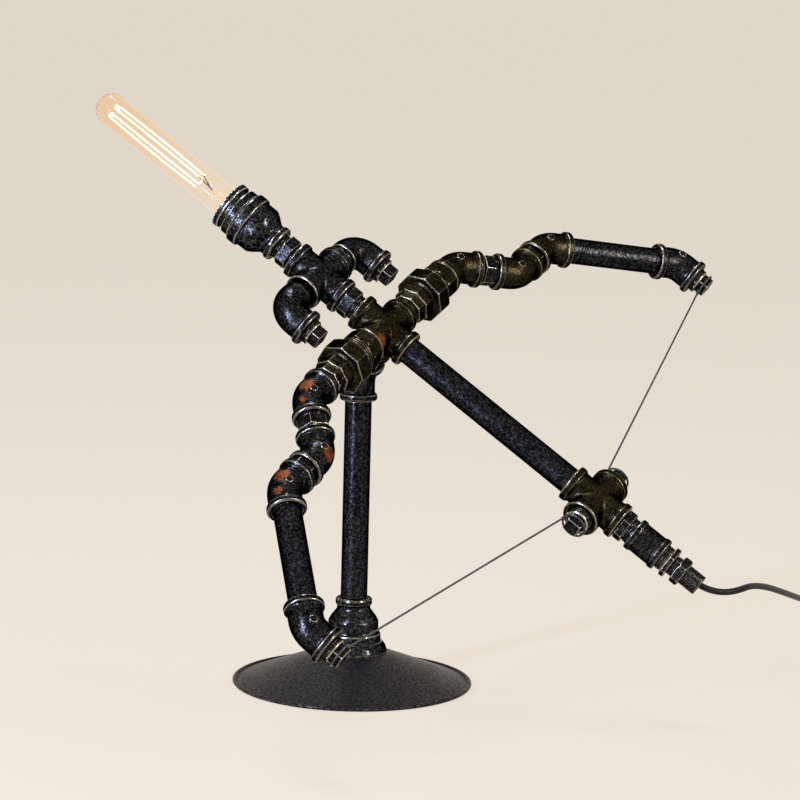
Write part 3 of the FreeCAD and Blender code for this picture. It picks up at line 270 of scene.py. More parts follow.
def dress_surface(tree: bpy.types.NodeTree, surface: bpy.types.NodeSocket, inputs: dict) -> None:
    """Adds the Principled shader with these inputs and links it to the surface's socket."""
    tree.links.new(add_node(tree, "ShaderNodeBsdfPrincipled", inputs).outputs[0], surface)


# Finishes


@dataclass(frozen=True)
class OiledIron:
    """Sand-cast malleable iron, blackened and rubbed with oil: near black, worn to metal on its edges.

    The grain of the sand breaks the highlights into specks, and oil leaves the sheen uneven.
    """

    name: str
    skin: str = "#0b0b0b"
    cloud: str = "#1a1712"
    oil: str = "#54565e"
    worn: str = "#a09c93"
    rust: str = "#a8560f"
    old_rust: str = "#331306"
    rough_low: float = 0.16
    rough_high: float = 0.36
    sand_mm: float = 1.1
    sand_height_mm: float = 0.05
    cloud_mm: float = 17.0
    oil_mm: float = 1.9
    pit_mm: float = 2.6
    stain_mm: float = 4.0
    wear_from: float = 0.056
    wear_to: float = 0.118

    def build(self) -> bpy.types.Material:
        """Builds the material and returns it."""
        material, tree, surface = blank_material(self.name)
        place = add_node(tree, "ShaderNodeTexCoord").outputs["Object"]
        sand = noise(tree, place, self.sand_mm, 3.0, 0.62)
        cloud = noise(tree, place, self.cloud_mm, 5.0, 0.6)
        # The oil has rubbed off the corners in broken patches, so sand noise shifts the edge of the wear.
        worn = ragged_wear(tree, sand, 0.1, (self.wear_from, self.wear_to))
        tint = blend(tree, spread(tree, cloud, (0.38, 0.68)), self.skin, self.cloud)
        # Oil lies in fine spots: between them the black oxide hardly shines.
        spots = spread(tree, noise(tree, place, self.oil_mm, 6.0, 0.7), (0.47, 0.76))
        bare = blend(tree, worn, blend(tree, spots, tint, self.oil), self.worn)
        # Rust comes through where water stood: an attribute says where, and two noises break it up.
        stain = maths(tree, "MULTIPLY", noise(tree, place, self.stain_mm, 6.0, 0.7), attribute(tree, "rust"))
        stain = spread(tree, stain, (0.34, 0.66))
        colour = blend(tree, stain, bare, blend(tree, sand, self.old_rust, self.rust))
        sheen = spread(tree, cloud, (0.3, 0.7), (self.rough_low, self.rough_high))
        # Black oxide stays dark at a glance along it, and bare metal doesn't.
        glance = blend(tree, worn, "#6a6a6c", "#f2f0ec")
        pits = add_node(tree, "ShaderNodeTexVoronoi", {"Vector": place, "Scale": grain(self.pit_mm)})
        pits = spread(tree, pits.outputs["Distance"], (0.0, 0.55), (0.62, 1.0))
        dress_surface(tree, surface, {
            "Base Color": colour, "Roughness": maths(tree, "MULTIPLY_ADD", stain, 0.4, sheen),
            "Metallic": maths(tree, "MULTIPLY_ADD", stain, -0.95, 1.0), "Specular Tint": glance,
            "Specular IOR Level": 0.1,
            "Normal": bumped(tree, maths(tree, "MULTIPLY", sand, pits), 1.0, self.sand_height_mm)})
        return material


@dataclass(frozen=True)
class PaintedSteel:
    """Spun sheet steel with a baked brown-black satin paint: smooth, with faint rings from the lathe."""

    name: str
    skin: str = "#0f0d0e"
    cloud: str = "#181416"
    worn: str = "#b9b3a6"
    ring_mm: float = 1.4
    dust_mm: float = 1.6
    cloud_mm: float = 38.0

    def build(self) -> bpy.types.Material:
        """Builds the material and returns it."""
        material, tree, surface = blank_material(self.name)
        place = add_node(tree, "ShaderNodeTexCoord").outputs["Object"]
        dust = noise(tree, place, self.dust_mm, 4.0, 0.65)
        cloud = noise(tree, place, self.cloud_mm, 4.0)
        # Rings stand on the lamp's own axis, so the distance from it drives them.
        across = add_node(tree, "ShaderNodeVectorMath", {0: place, 1: (1.0, 1.0, 0.0)}, operation="MULTIPLY")
        radius = add_node(tree, "ShaderNodeVectorMath", {0: across.outputs[0]}, operation="LENGTH")
        rings = maths(tree, "MULTIPLY", radius.outputs["Value"], 2 * math.pi * grain(self.ring_mm))
        height = maths(tree, "MULTIPLY_ADD", maths(tree, "SINE", rings), 0.16, dust)
        worn = ragged_wear(tree, dust, 0.04, (0.028, 0.06))
        # The paint shines in specks, where dust hasn't dulled it.
        gleam = spread(tree, dust, (0.42, 0.66), (0.02, 0.34))
        dress_surface(tree, surface, {
            "Base Color": blend(tree, worn, blend(tree, cloud, self.skin, self.cloud), self.worn),
            "Roughness": spread(tree, cloud, target=(0.28, 0.42)),
            "Metallic": maths(tree, "MULTIPLY", worn, 0.8), "Specular IOR Level": gleam,
            "Normal": bumped(tree, height, 0.5, 0.09)})
        return material


@dataclass(frozen=True)
class PlainFinish:
    """A small smooth finish, such as moulded plastic, porcelain, rubber or brass, with an uneven sheen."""

    name: str
    colour: str
    shade: str
    rough: float
    metallic: float = 0.0
    fleck_mm: float = 1.2
    bump_mm: float = 0.03
    shine: float = 0.5

    def build(self) -> bpy.types.Material:
        """Builds the material and returns it."""
        material, tree, surface = blank_material(self.name)
        place = add_node(tree, "ShaderNodeTexCoord").outputs["Object"]
        fine = noise(tree, place, self.fleck_mm, 4.0)
        wide = noise(tree, place, self.fleck_mm * 11, 3.0)
        sheen = spread(tree, fine, target=(max(self.rough - 0.07, 0.04), self.rough + 0.07))
        dress_surface(tree, surface, {
            "Base Color": blend(tree, wide, self.colour, self.shade), "Roughness": sheen,
            "Metallic": self.metallic, "Specular IOR Level": self.shine,
            "Normal": bumped(tree, fine, 0.6, self.bump_mm)})
        return material


@dataclass(frozen=True)
class AmberGlass:
    """Blown tubular glass with an amber tint that deepens towards the tip as painted warm light of the lit
    bulb, and a faint painted glow of the filament's light.
    """

    name: str
    clear: str = "#fffcf7"
    amber: str = "#fdf1e0"
    # Painted glow: the glass gives off a little light of its own, in place of the filament's light caught in
    # it.
    painted_glow: str = "#ffae84"
    painted_glow_strength: float = 0.022
    start_mm: float = 26.0
    end_mm: float = 165.0
    ripple_mm: float = 26.0

    def build(self) -> bpy.types.Material:
        """Builds the material and returns it."""
        material, tree, surface = blank_material(self.name)
        place = add_node(tree, "ShaderNodeTexCoord").outputs["Object"]
        out = add_node(tree, "ShaderNodeVectorMath", {0: place, 1: tuple(MOUTH)}, operation="SUBTRACT")
        along = add_node(tree, "ShaderNodeVectorMath", {0: out.outputs[0], 1: tuple(-TAILWARD)},
                         operation="DOT_PRODUCT").outputs["Value"]
        # Painted warm light: the amber deepens along the bulb towards its tip, where the lit bulb is warmest.
        share = spread(tree, along, (self.start_mm * MM, self.end_mm * MM))
        ripple = noise(tree, place, self.ripple_mm, 2.0)
        dress_surface(tree, surface, {
            "Base Color": blend(tree, share, self.clear, self.amber), "Roughness": 0.03, "IOR": 1.12,
            "Transmission Weight": 1.0, "Normal": bumped(tree, ripple, 0.2, 0.05),
            "Emission Color": linear(self.painted_glow), "Emission Strength": self.painted_glow_strength})
        return material


@dataclass(frozen=True)
class GlowingWire:
    """Carbon filament, hot enough to glow yellow-white with cooler orange stretches."""

    name: str
    hot: str = "#ffe6b8"
    cool: str = "#ff9a4a"
    carbon: str = "#3a2a20"
    strength: float = 8.0
    stretch_mm: float = 9.0

    def build(self) -> bpy.types.Material:
        """Builds the material and returns it."""
        material, tree, surface = blank_material(self.name)
        place = add_node(tree, "ShaderNodeTexCoord").outputs["Object"]
        uneven = noise(tree, place, self.stretch_mm, 2.0)
        dress_surface(tree, surface, {
            "Base Color": linear(self.carbon), "Roughness": 0.6,
            "Emission Color": blend(tree, uneven, self.hot, self.cool), "Emission Strength": self.strength})
        return material


FINISHES = {
    # Malleable cast iron with black oxide, oiled.
    "iron": OiledIron("oiled_cast_iron"),
    # The same iron where old oil has yellowed.
    "olive": OiledIron("oiled_cast_iron_olive", skin="#0e0d09", cloud="#241f12", oil="#4a473a",
                       worn="#918c78"),
    # Drawn steel pipe with black mill scale, oiled.
    "pipe": OiledIron("oiled_drawn_pipe", skin="#0b0b0d", cloud="#151418", oil="#53555c", worn="#8d8b86",
                      sand_mm=1.7, sand_height_mm=0.06, rough_low=0.22, rough_high=0.36),
    # Cast iron under a thicker coat of oil.
    "gloss": OiledIron("oiled_iron_gloss", skin="#0d0d0f", cloud="#1b1a1a", oil="#6c6f77", worn="#c9c7c0",
                       rough_low=0.14, rough_high=0.32, sand_mm=2.2, sand_height_mm=0.06),
    # Iron cut on the lathe: threads and nipples, darkened with oil.
    "cut": OiledIron("cut_thread_iron", skin="#0e0e0e", cloud="#1c1a16", worn="#aaa595", wear_from=0.06,
                     wear_to=0.12, sand_mm=0.8, sand_height_mm=0.08),
    # Sheet steel, spun and baked with satin paint.
    "base": PaintedSteel("satin_painted_steel"),
    # Grey cast iron as it left the sand.
    "raw": PlainFinish("raw_cast_iron", "#2c2a28", "#3c3936", 0.7, 0.3, 1.6, 0.2, 0.2),
    # Moulded rubber: matt and dark, with a fine orange-peel.
    "rubber": PlainFinish("moulded_rubber", "#17171a", "#202023", 0.78, 0.0, 0.9, 0.05, 0.12),
    # Glazed porcelain: hard gloss over an off-white body.
    "porcelain": PlainFinish("glazed_porcelain", "#d9d4c8", "#ece8df", 0.14, 0.0, 3.0, 0.02),
    # Brass sheet and pins, lightly tarnished.
    "brass": PlainFinish("tarnished_brass", "#b08d4a", "#8e7038", 0.32, 1.0, 1.4, 0.02),
    # Galvanised steel cable, grey with handling.
    "steel": PlainFinish("galvanised_steel_wire", "#3f4043", "#2b2c2f", 0.4, 0.55, 0.7, 0.02),
    # Extruded PVC: black, slightly shiny along its length.
    "flex": PlainFinish("extruded_pvc", "#0f0f11", "#151517", 0.42, 0.0, 1.0, 0.02, 0.14),
    # Moulded ABS with a spark-eroded texture.
    "moulding": PlainFinish("moulded_abs", "#141416", "#1a1a1c", 0.38, 0.0, 0.7, 0.04, 0.2),
    # Blown soda glass, faintly amber, with a faint painted glow of the filament's light.
    "glass": AmberGlass("amber_blown_glass"),
    # Pressed lead glass of the stem, with a slightly stronger painted glow of the filament's light.
    "stem_glass": AmberGlass("clear_pressed_glass", clear="#fff6ea", amber="#fff0dd", painted_glow_strength=0.03),
    # Carbonised thread, alight.
    "filament": GlowingWire("glowing_carbon"),
}


class Finishes:
    """The finishes of the lamp, each built once when it is first asked for."""

    made: dict[str, bpy.types.Material] = {}

    @classmethod
    def get(cls, name: str) -> bpy.types.Material:
        """Returns the material of that finish."""
        if name not in cls.made:
            cls.made[name] = FINISHES[name].build()
        return cls.made[name]


# Mesh tools


def stand(origin: Vector, direction: Vector, side: Vector | None = None) -> Matrix:
    """Returns the placement that turns Z to a direction and X towards a side.

    Args:
        origin: where the local origin goes, in metres.
        direction: where local Z points.
        side: where local X points, made square to the direction. Any side if None.

    Returns:
        The four by four matrix.
    """
    z = direction.normalized()
    rough = side if side is not None else (BOW_NORMAL if abs(z.dot(BOW_NORMAL)) < 0.9 else LIMBWARD)
    x = (rough - z * rough.dot(z)).normalized()
    y = z.cross(x)
    matrix = Matrix((x, y, z)).transposed().to_4x4()
    matrix.translation = origin
    return matrix


def new_object(name: str, data: bpy.types.Mesh | bpy.types.Curve) -> bpy.types.Object:
    """Links a mesh or a curve into the scene as an object at the origin and returns it."""
    thing = bpy.data.objects.new(name, data)
    bpy.context.scene.collection.objects.link(thing)
    return thing


def drop(thing: bpy.types.Object) -> None:
    """Removes an object and its mesh."""
    mesh = thing.data
    bpy.data.objects.remove(thing)
    if mesh.users == 0:
        bpy.data.meshes.remove(mesh)


def from_bmesh(name: str, work: bmesh.types.BMesh) -> bpy.types.Object:
    """Writes a bmesh to a new object with faces outward and smooth, and frees it."""
    bmesh.ops.remove_doubles(work, verts=work.verts, dist=1e-7)
    bmesh.ops.recalc_face_normals(work, faces=work.faces)
    mesh = bpy.data.meshes.new(name)
    work.to_mesh(mesh)
    work.free()
    mesh.shade_smooth()
    return new_object(name, mesh)


def evaluated(thing: bpy.types.Object) -> bpy.types.Object:
    """Applies the modifiers of an object by taking its evaluated mesh, and returns the object."""
    bpy.context.view_layer.update()
    graph = bpy.context.evaluated_depsgraph_get()
    mesh = bpy.data.meshes.new_from_object(thing.evaluated_get(graph))
    old = thing.data
    thing.modifiers.clear()
    thing.data = mesh
    mesh.name = thing.name
    if old.users == 0:
        bpy.data.meshes.remove(old)
    return thing


def softened(profile: Profile, cut: float, steps: int = 3) -> Profile:
    """Rounds the corners of a profile that isn't closed.

    Args:
        profile: radius and height of each corner, in millimetres.
        cut: how far from a corner its round starts, at most.
        steps: points on each round, less one.

    Returns:
        The profile with its corners rounded.
    """
    points = [Vector((r, z)) for r, z in profile]
    out = [points[0]]
    for before, here, after in zip(points, points[1:], points[2:]):
        first, last = before - here, after - here
        reach = min(cut, first.length * 0.45, last.length * 0.45)
        if reach < 0.02:
            out.append(here)
            continue
        start, end = here + first.normalized() * reach, here + last.normalized() * reach
        for k in range(steps + 1):
            t = k / steps
            out.append(start * (1 - t) ** 2 + here * (2 * t * (1 - t)) + end * t * t)
    out.append(points[-1])
    return [(p.x, p.y) for p in out]


def resampled(profile: Profile, step: float) -> Profile:
    """Puts extra points on a profile's long runs, so that no run is longer than a step in millimetres."""
    out = [profile[0]]
    for (r0, z0), (r1, z1) in zip(profile, profile[1:]):
        count = max(1, math.ceil(math.hypot(r1 - r0, z1 - z0) / step))
        out += [(r0 + (r1 - r0) * k / count, z0 + (z1 - z0) * k / count) for k in range(1, count + 1)]
    return out


def turned(name: str, profile: Profile, place: Matrix, steps: int = 96, closed: bool = False
           ) -> bpy.types.Object:
    """Turns a profile round the local Z axis.

    Args:
        name: the new object's name.
        profile: radius and height of each point, in millimetres. Its ends lie on the axis unless it is
            closed.
        place: where the local frame goes.
        steps: how many steps there are in a turn.
        closed: whether the last point joins the first, as in a ring.

    Returns:
        The new object.
    """
    work = bmesh.new()
    rings = []
    for radius, height in profile:
        if radius < 1e-6:
            rings.append([work.verts.new((0, 0, height * MM))])
            continue
        rings.append([work.verts.new((radius * MM * math.cos(2 * math.pi * k / steps),
                                      radius * MM * math.sin(2 * math.pi * k / steps), height * MM))
                      for k in range(steps)])
    pairs = list(zip(rings, rings[1:]))
    if closed:
        pairs.append((rings[-1], rings[0]))
    for low, high in pairs:
        if len(low) == 1 and len(high) == 1:
            continue
        for k in range(steps):
            nxt = (k + 1) % steps
            if len(low) == 1:
                work.faces.new((low[0], high[nxt], high[k]))
            elif len(high) == 1:
                work.faces.new((low[k], low[nxt], high[0]))
            else:
                work.faces.new((low[k], low[nxt], high[nxt], high[k]))
    thing = from_bmesh(name, work)
    thing.data.transform(place)
    return thing


def prism(name: str, sides: int, flats: float, low: float, high: float, chamfer: float, place: Matrix
          ) -> bpy.types.Object:
    """Makes a nut's block: a prism with its ends chamfered, standing on the local Z axis.

    Args:
        name: the new object's name.
        sides: how many flats it has.
        flats: the size across its flats, in millimetres.
        low: height of its lower end.
        high: height of its upper end.
        chamfer: how much is taken off each end's edges.
        place: where the local frame goes, with a corner on local X.

    Returns:
        The new object.
    """
    corner = flats / 2 / math.cos(math.pi / sides)
    work = bmesh.new()
    rings = []
    for radius, height in ((corner - chamfer, low), (corner, low + chamfer * 0.6),
                           (corner, high - chamfer * 0.6), (corner - chamfer, high)):
        rings.append([work.verts.new((radius * MM * math.cos(2 * math.pi * k / sides),
                                      radius * MM * math.sin(2 * math.pi * k / sides), height * MM))
                      for k in range(sides)])
    for lower, upper in zip(rings, rings[1:]):
        for k in range(sides):
            work.faces.new((lower[k], lower[(k + 1) % sides], upper[(k + 1) % sides], upper[k]))
    work.faces.new(rings[0][::-1])
    work.faces.new(rings[-1])
    thing = from_bmesh(name, work)
    thing.data.transform(place)
    return thing


def joined(name: str, things: Iterable[bpy.types.Object]) -> bpy.types.Object:
    """Joins the meshes of several objects into one new object, and removes them.

    Args:
        name: the new object's name.
        things: the objects to join, all at the origin.

    Returns:
        The new object. It keeps the materials and the wear of its parts.
    """
    parts = list(things)
    vertices, faces, material_of, wear, materials = [], [], [], [], []
    offset = 0
    for part in parts:
        mesh = part.data
        count = len(mesh.vertices)
        place = np.empty(count * 3, np.float32)
        mesh.vertices.foreach_get("co", place)
        vertices.append(place.reshape(-1, 3))
        worn = np.zeros(count, np.float32)
        if "wear" in mesh.attributes:
            mesh.attributes["wear"].data.foreach_get("value", worn)
        wear.append(worn)
        own = list(mesh.materials)
        for material in own:
            if material not in materials:
                materials.append(material)
        for face in mesh.polygons:
            faces.append([v + offset for v in face.vertices])
            material_of.append(materials.index(own[face.material_index]) if own else 0)
        offset += count
    mesh = bpy.data.meshes.new(name)
    mesh.from_pydata(np.concatenate(vertices).tolist(), [], faces)
    for material in materials:
        mesh.materials.append(material)
    mesh.polygons.foreach_set("material_index", material_of)
    mesh.attributes.new("wear", "FLOAT", "POINT").data.foreach_set("value", np.concatenate(wear))
    mesh.shade_smooth()
    for part in parts:
        drop(part)
    return new_object(name, mesh)


def relaxed(thing: bpy.types.Object, voxel: float, rounds: int) -> bpy.types.Object:
    """Gives a mesh even small faces and rounds its corners as a casting's are.

    Args:
        thing: the object, whose shells may overlap.
        voxel: the size of the new faces, in millimetres.
        rounds: how many times each point is moved towards its neighbours.

    Returns:
        The same object.
    """
    voxel *= 1.0
    remesh = thing.modifiers.new("faces", "REMESH")
    remesh.mode = "VOXEL"
    remesh.voxel_size = voxel * MM
    remesh.use_smooth_shade = True
    if rounds:
        smooth = thing.modifiers.new("rounds", "SMOOTH")
        smooth.factor = 0.5
        smooth.iterations = rounds
    return evaluated(thing)


def paint_wear(thing: bpy.types.Object, blur: int = 2) -> bpy.types.Object:
    """Writes how far each point stands proud of its neighbours to the attribute that the iron's wear reads.

    Args:
        thing: the object, with faces of about one size.
        blur: how many times the values are spread to the neighbours.

    Returns:
        The same object.
    """
    mesh = thing.data
    count = len(mesh.vertices)
    place, normal = np.empty(count * 3, np.float32), np.empty(count * 3, np.float32)
    mesh.vertices.foreach_get("co", place)
    mesh.vertices.foreach_get("normal", normal)
    place, normal = place.reshape(-1, 3), normal.reshape(-1, 3)
    ends = np.empty(len(mesh.edges) * 2, np.int32)
    mesh.edges.foreach_get("vertices", ends)
    first, last = ends[0::2], ends[1::2]
    step = place[last] - place[first]
    length = np.maximum(np.linalg.norm(step, axis=1), 1e-9)
    total, near = np.zeros(count), np.zeros(count)
    np.add.at(total, first, -(step * normal[first]).sum(1) / length)
    np.add.at(total, last, (step * normal[last]).sum(1) / length)
    np.add.at(near, first, 1)
    np.add.at(near, last, 1)
    near = np.maximum(near, 1)
    wear = total / near
    for _ in range(blur):
        gathered = np.zeros(count)
        np.add.at(gathered, first, wear[last])
        np.add.at(gathered, last, wear[first])
        wear = 0.5 * wear + 0.5 * gathered / near
    old = mesh.attributes.get("wear")
    if old is not None:
        mesh.attributes.remove(old)
    mesh.attributes.new("wear", "FLOAT", "POINT").data.foreach_set("value", wear.astype(np.float32))
    return thing


def soften_wear(thing: bpy.types.Object, share: float) -> bpy.types.Object:
    """Scales a piece's wear by a share, where its faces are too small to compare with a casting's."""
    values = np.empty(len(thing.data.vertices), np.float32)
    thing.data.attributes["wear"].data.foreach_get("value", values)
    thing.data.attributes["wear"].data.foreach_set("value", values * share)
    return thing


def paint_rust(thing: bpy.types.Object, spots: Sequence[tuple[Vector, float]]) -> bpy.types.Object:
    """Writes how near each point is to a rusty spot to the attribute that the iron's rust reads.

    Args:
        thing: the object.
        spots: centre in metres and radius in millimetres of each spot.

    Returns:
        The same object.
    """
    mesh = thing.data
    place = np.empty(len(mesh.vertices) * 3, np.float32)
    mesh.vertices.foreach_get("co", place)
    place = place.reshape(-1, 3)
    rust = np.zeros(len(place))
    for centre, radius in spots:
        distance = np.linalg.norm(place - np.array(centre), axis=1) / (radius * MM)
        rust = np.maximum(rust, np.clip(1.5 - distance, 0, 1))
    mesh.attributes.new("rust", "FLOAT", "POINT").data.foreach_set("value", rust.astype(np.float32))
    return thing


def copy_of(node: str, name: str) -> bpy.types.Object:
    """Copies a node's mesh to a new object with its doubles merged, and returns it."""
    work = bmesh.new()
    work.from_mesh(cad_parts[node].data)
    bmesh.ops.remove_doubles(work, verts=work.verts, dist=2e-6)
    mesh = bpy.data.meshes.new(name)
    work.to_mesh(mesh)
    work.free()
    return new_object(name, mesh)


def dress(thing: bpy.types.Object, finish: str) -> bpy.types.Object:
    """Gives an object one finish on all its faces and returns it."""
    thing.data.materials.clear()
    thing.data.materials.append(Finishes.get(finish))
    return thing


def place_piece(thing: bpy.types.Object, body: Body, slot: Slot, *nodes: str) -> bpy.types.Object:
    """Hands a finished piece to the frame.

    Args:
        thing: the piece, at the origin.
        body: the body that it moves with.
        slot: not used.
        nodes: the nodes that it stands for.

    Returns:
        The piece.
    """
    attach(thing, body.value)
    if nodes:
        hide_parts(*nodes)
    log.info("%s: %d faces on %s", thing.name, len(thing.data.polygons), body.value)
    return thing


def dress_node(node: str, finish: str) -> None:
    """Gives a node that stays visible its finish."""
    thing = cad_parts[node]
    material = Finishes.get(finish)
    thing.data.materials.clear()
    thing.data.materials.append(material)
    for slot in thing.material_slots:
        slot.material = material
    log.info("%s: kept, as %s", node, finish)


# Geometry nodes


@dataclass
class NodeShape:
    """A Geometry Nodes tree with named inputs, run once on an object to give it a plain mesh."""

    name: str
    sockets: dict[str, str]
    tree: bpy.types.NodeTree = field(init=False)
    given: bpy.types.Node = field(init=False)

    def __post_init__(self) -> None:
        """Makes the tree and its sockets."""
        self.tree = bpy.data.node_groups.new(self.name, "GeometryNodeTree")
        self.tree.interface.new_socket("Geometry", in_out="INPUT", socket_type="NodeSocketGeometry")
        for name, kind in self.sockets.items():
            self.tree.interface.new_socket(name, in_out="INPUT", socket_type=kind)
        self.tree.interface.new_socket("Geometry", in_out="OUTPUT", socket_type="NodeSocketGeometry")
        self.given = add_node(self.tree, "NodeGroupInput")

    def end(self, geometry: bpy.types.NodeSocket) -> None:
        """Ends the tree in Realize Instances, Set Shade Smooth and Set Material."""
        real = add_node(self.tree, "GeometryNodeRealizeInstances", {"Geometry": geometry})
        smooth = add_node(self.tree, "GeometryNodeSetShadeSmooth", {"Geometry": real.outputs[0]})
        painted = add_node(self.tree, "GeometryNodeSetMaterial",
                           {"Geometry": smooth.outputs[0], "Material": self.given.outputs["Material"]})
        out = add_node(self.tree, "NodeGroupOutput")
        self.tree.links.new(painted.outputs[0], out.inputs[0])

    def run(self, thing: bpy.types.Object, values: dict[str, object]) -> bpy.types.Object:
        """Runs the tree on an object.

        Args:
            thing: the object whose mesh goes in.
            values: the value of each named input.

        Returns:
            The same object with the result as its mesh.
        """
        modifier = thing.modifiers.new(self.name, "NODES")
        modifier.node_group = self.tree
        for item in self.tree.interface.items_tree:
            if item.in_out == "INPUT" and item.name in values:
                modifier[item.identifier] = values[item.name]
        return evaluated(thing)


def helix_shape() -> NodeShape:
    """Builds the tree that winds a round ridge up the local Z axis, as a thread or a strand is.

    Returns:
        The tree. Its inputs are in metres: Radius, Height, Turns, Ridge, Steps, Facets.
    """
    shape = NodeShape("helix", {
        "Radius": "NodeSocketFloat", "Height": "NodeSocketFloat", "Turns": "NodeSocketFloat",
        "Ridge": "NodeSocketFloat", "Steps": "NodeSocketInt", "Facets": "NodeSocketInt",
        "Material": "NodeSocketMaterial"})
    tree, given = shape.tree, shape.given.outputs
    line = add_node(tree, "GeometryNodeCurveSpiral", {
        "Resolution": given["Steps"], "Rotations": given["Turns"], "Start Radius": given["Radius"],
        "End Radius": given["Radius"], "Height": given["Height"]})
    section = add_node(tree, "GeometryNodeCurvePrimitiveCircle",
                       {"Resolution": given["Facets"], "Radius": given["Ridge"]})
    ridge = add_node(tree, "GeometryNodeCurveToMesh",
                     {"Curve": line.outputs[0], "Profile Curve": section.outputs[0], "Fill Caps": True})
    shape.end(ridge.outputs[0])
    return shape


def round_shape() -> NodeShape:
    """Builds the tree that repeats the object's mesh round the local Z axis.

    Returns:
        The tree. Its inputs are Count and Share, the part of a turn that the copies fill.
    """
    shape = NodeShape("round_array", {"Count": "NodeSocketInt", "Share": "NodeSocketFloat",
                                      "Material": "NodeSocketMaterial"})
    tree, given = shape.tree, shape.given.outputs
    points = add_node(tree, "GeometryNodePoints", {"Count": given["Count"]})
    index = add_node(tree, "GeometryNodeInputIndex")
    share = maths(tree, "MULTIPLY", maths(tree, "DIVIDE", index.outputs[0], given["Count"]), given["Share"])
    angle = add_node(tree, "ShaderNodeCombineXYZ", {"Z": maths(tree, "MULTIPLY", share, 2 * math.pi)})
    copies = add_node(tree, "GeometryNodeInstanceOnPoints", {
        "Points": points.outputs[0], "Instance": given["Geometry"], "Rotation": angle.outputs[0]})
    shape.end(copies.outputs[0])
    return shape


def row_shape() -> NodeShape:
    """Builds the tree that repeats the object's mesh in a row.

    Returns:
        The tree. Its inputs are Count and Step, the offset from one copy to the next in metres.
    """
    shape = NodeShape("row", {"Count": "NodeSocketInt", "Step": "NodeSocketVector",
                              "Material": "NodeSocketMaterial"})
    tree, given = shape.tree, shape.given.outputs
    line = add_node(tree, "GeometryNodeMeshLine", {"Count": given["Count"], "Offset": given["Step"]})
    copies = add_node(tree, "GeometryNodeInstanceOnPoints",
                      {"Points": line.outputs[0], "Instance": given["Geometry"]})
    shape.end(copies.outputs[0])
    return shape


class Shapes:
    """The node trees of the lamp, each built once."""

    made: dict[str, NodeShape] = {}

    @classmethod
    def get(cls, name: str, build: Callable[[], NodeShape]) -> NodeShape:
        """Returns the tree of that name, and builds it the first time."""
        if name not in cls.made:
            cls.made[name] = build()
        return cls.made[name]


def helix(name: str, crest: float, pitch: float, low: float, high: float, finish: str, place: Matrix,
          steps: int = 40, facets: int = 8) -> bpy.types.Object:
    """Winds a thread of round-backed ridges.

    Args:
        name: the new object's name.
        crest: the radius over the crests, in millimetres.
        pitch: the rise of one turn.
        low: height of its first turn's middle.
        high: height of its last turn's middle.
        finish: the name of its finish.
        place: where the local frame goes.
        steps: points on one turn.
        facets: points round the ridge.

    Returns:
        The new object.
    """
    ridge = pitch * RIDGE_SHARE
    thing = new_object(name, bpy.data.meshes.new(name))
    shape = Shapes.get("helix", helix_shape)
    shape.run(thing, {
        "Radius": (crest - ridge) * MM, "Height": (high - low) * MM, "Turns": (high - low) / pitch,
        "Ridge": ridge * MM, "Steps": steps, "Facets": facets, "Material": Finishes.get(finish)})
    thing.data.transform(place @ Matrix.Translation((0, 0, low * MM)))
    return soften_wear(paint_wear(thing, 1), THREAD_WEAR)


# The sub-assemblies


@dataclass
class CrossFitting:
    """A malleable cross: round arms that melt into each other, each with a rolled bead at its mouth."""

    node: str
    centre: Vector
    arms: Sequence[Vector]
    finish: str = "iron"
    reach: float = 25.0
    body: float = 12.9
    bead: float = 14.9
    bead_length: float = 6.0
    core_voxel: float = 0.8
    core_rounds: int = 34
    voxel: float = 0.68
    rounds: int = 2
    rust: Sequence[tuple[Vector, float]] = ()

    def build(self) -> bpy.types.Object:
        """Builds the cross and returns it."""
        wide, end, foot = self.body + 0.35, self.reach - 3.5, self.reach - self.bead_length
        arm = [(0, -2), (wide, -2), (wide, end), (0, end)]
        ring = softened([(0, foot - 4), (self.body - 0.3, foot - 4), (self.body + 0.25, foot - 0.6),
                         (self.bead, foot + 0.5), (self.bead, self.reach), (11.6, self.reach),
                         (10.7, self.reach - 0.9), (10.5, self.reach - 9.0), (0, self.reach - 9.0)], 1.1, 4)
        ring = resampled(ring, 0.8)
        places = [stand(self.centre, direction) for direction in self.arms]
        arms = [turned(f"{self.node}_arm{k}", arm, place, 64) for k, place in enumerate(places)]
        parts = [relaxed(joined(self.node + "_core", arms), self.core_voxel, self.core_rounds)]
        parts += [turned(f"{self.node}_bead{k}", ring, place) for k, place in enumerate(places)]
        thing = relaxed(joined(self.node + "_cast", parts), self.voxel, self.rounds)
        paint_wear(thing)
        paint_rust(thing, self.rust)
        dress(thing, self.finish)
        return place_piece(thing, Body.LAMP, Slot.IRON, self.node)


@dataclass(frozen=True)
class Neck:
    """The stretch of a fitting that a nut turns on. Its points are kept clear of the nut's bore."""

    nut: str
    origin: Vector
    direction: Vector
    room: float = 0.45

    def clear(self, thing: bpy.types.Object) -> None:
        """Draws the neck's points in, so that the turning nut never rubs on them.

        Args:
            thing: the fitting that the nut turns on.
        """
        back = stand(self.origin, self.direction).inverted()
        bore = [back @ v.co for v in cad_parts[self.nut].data.vertices]
        radius = min(Vector((p.x, p.y)).length for p in bore)
        mouth = [p.z for p in bore if Vector((p.x, p.y)).length < radius + 0.05 * MM]
        low, high = min(mouth) - 0.2 * MM, max(mouth) + 0.2 * MM
        slim = radius - self.room * MM
        for point in thing.data.vertices:
            place = back @ point.co
            out = Vector((place.x, place.y, 0.0)).length
            if low < place.z < high and slim < out < radius + 0.6 * MM:
                place.x, place.y = place.x * slim / out, place.y * slim / out
                point.co = back.inverted() @ place


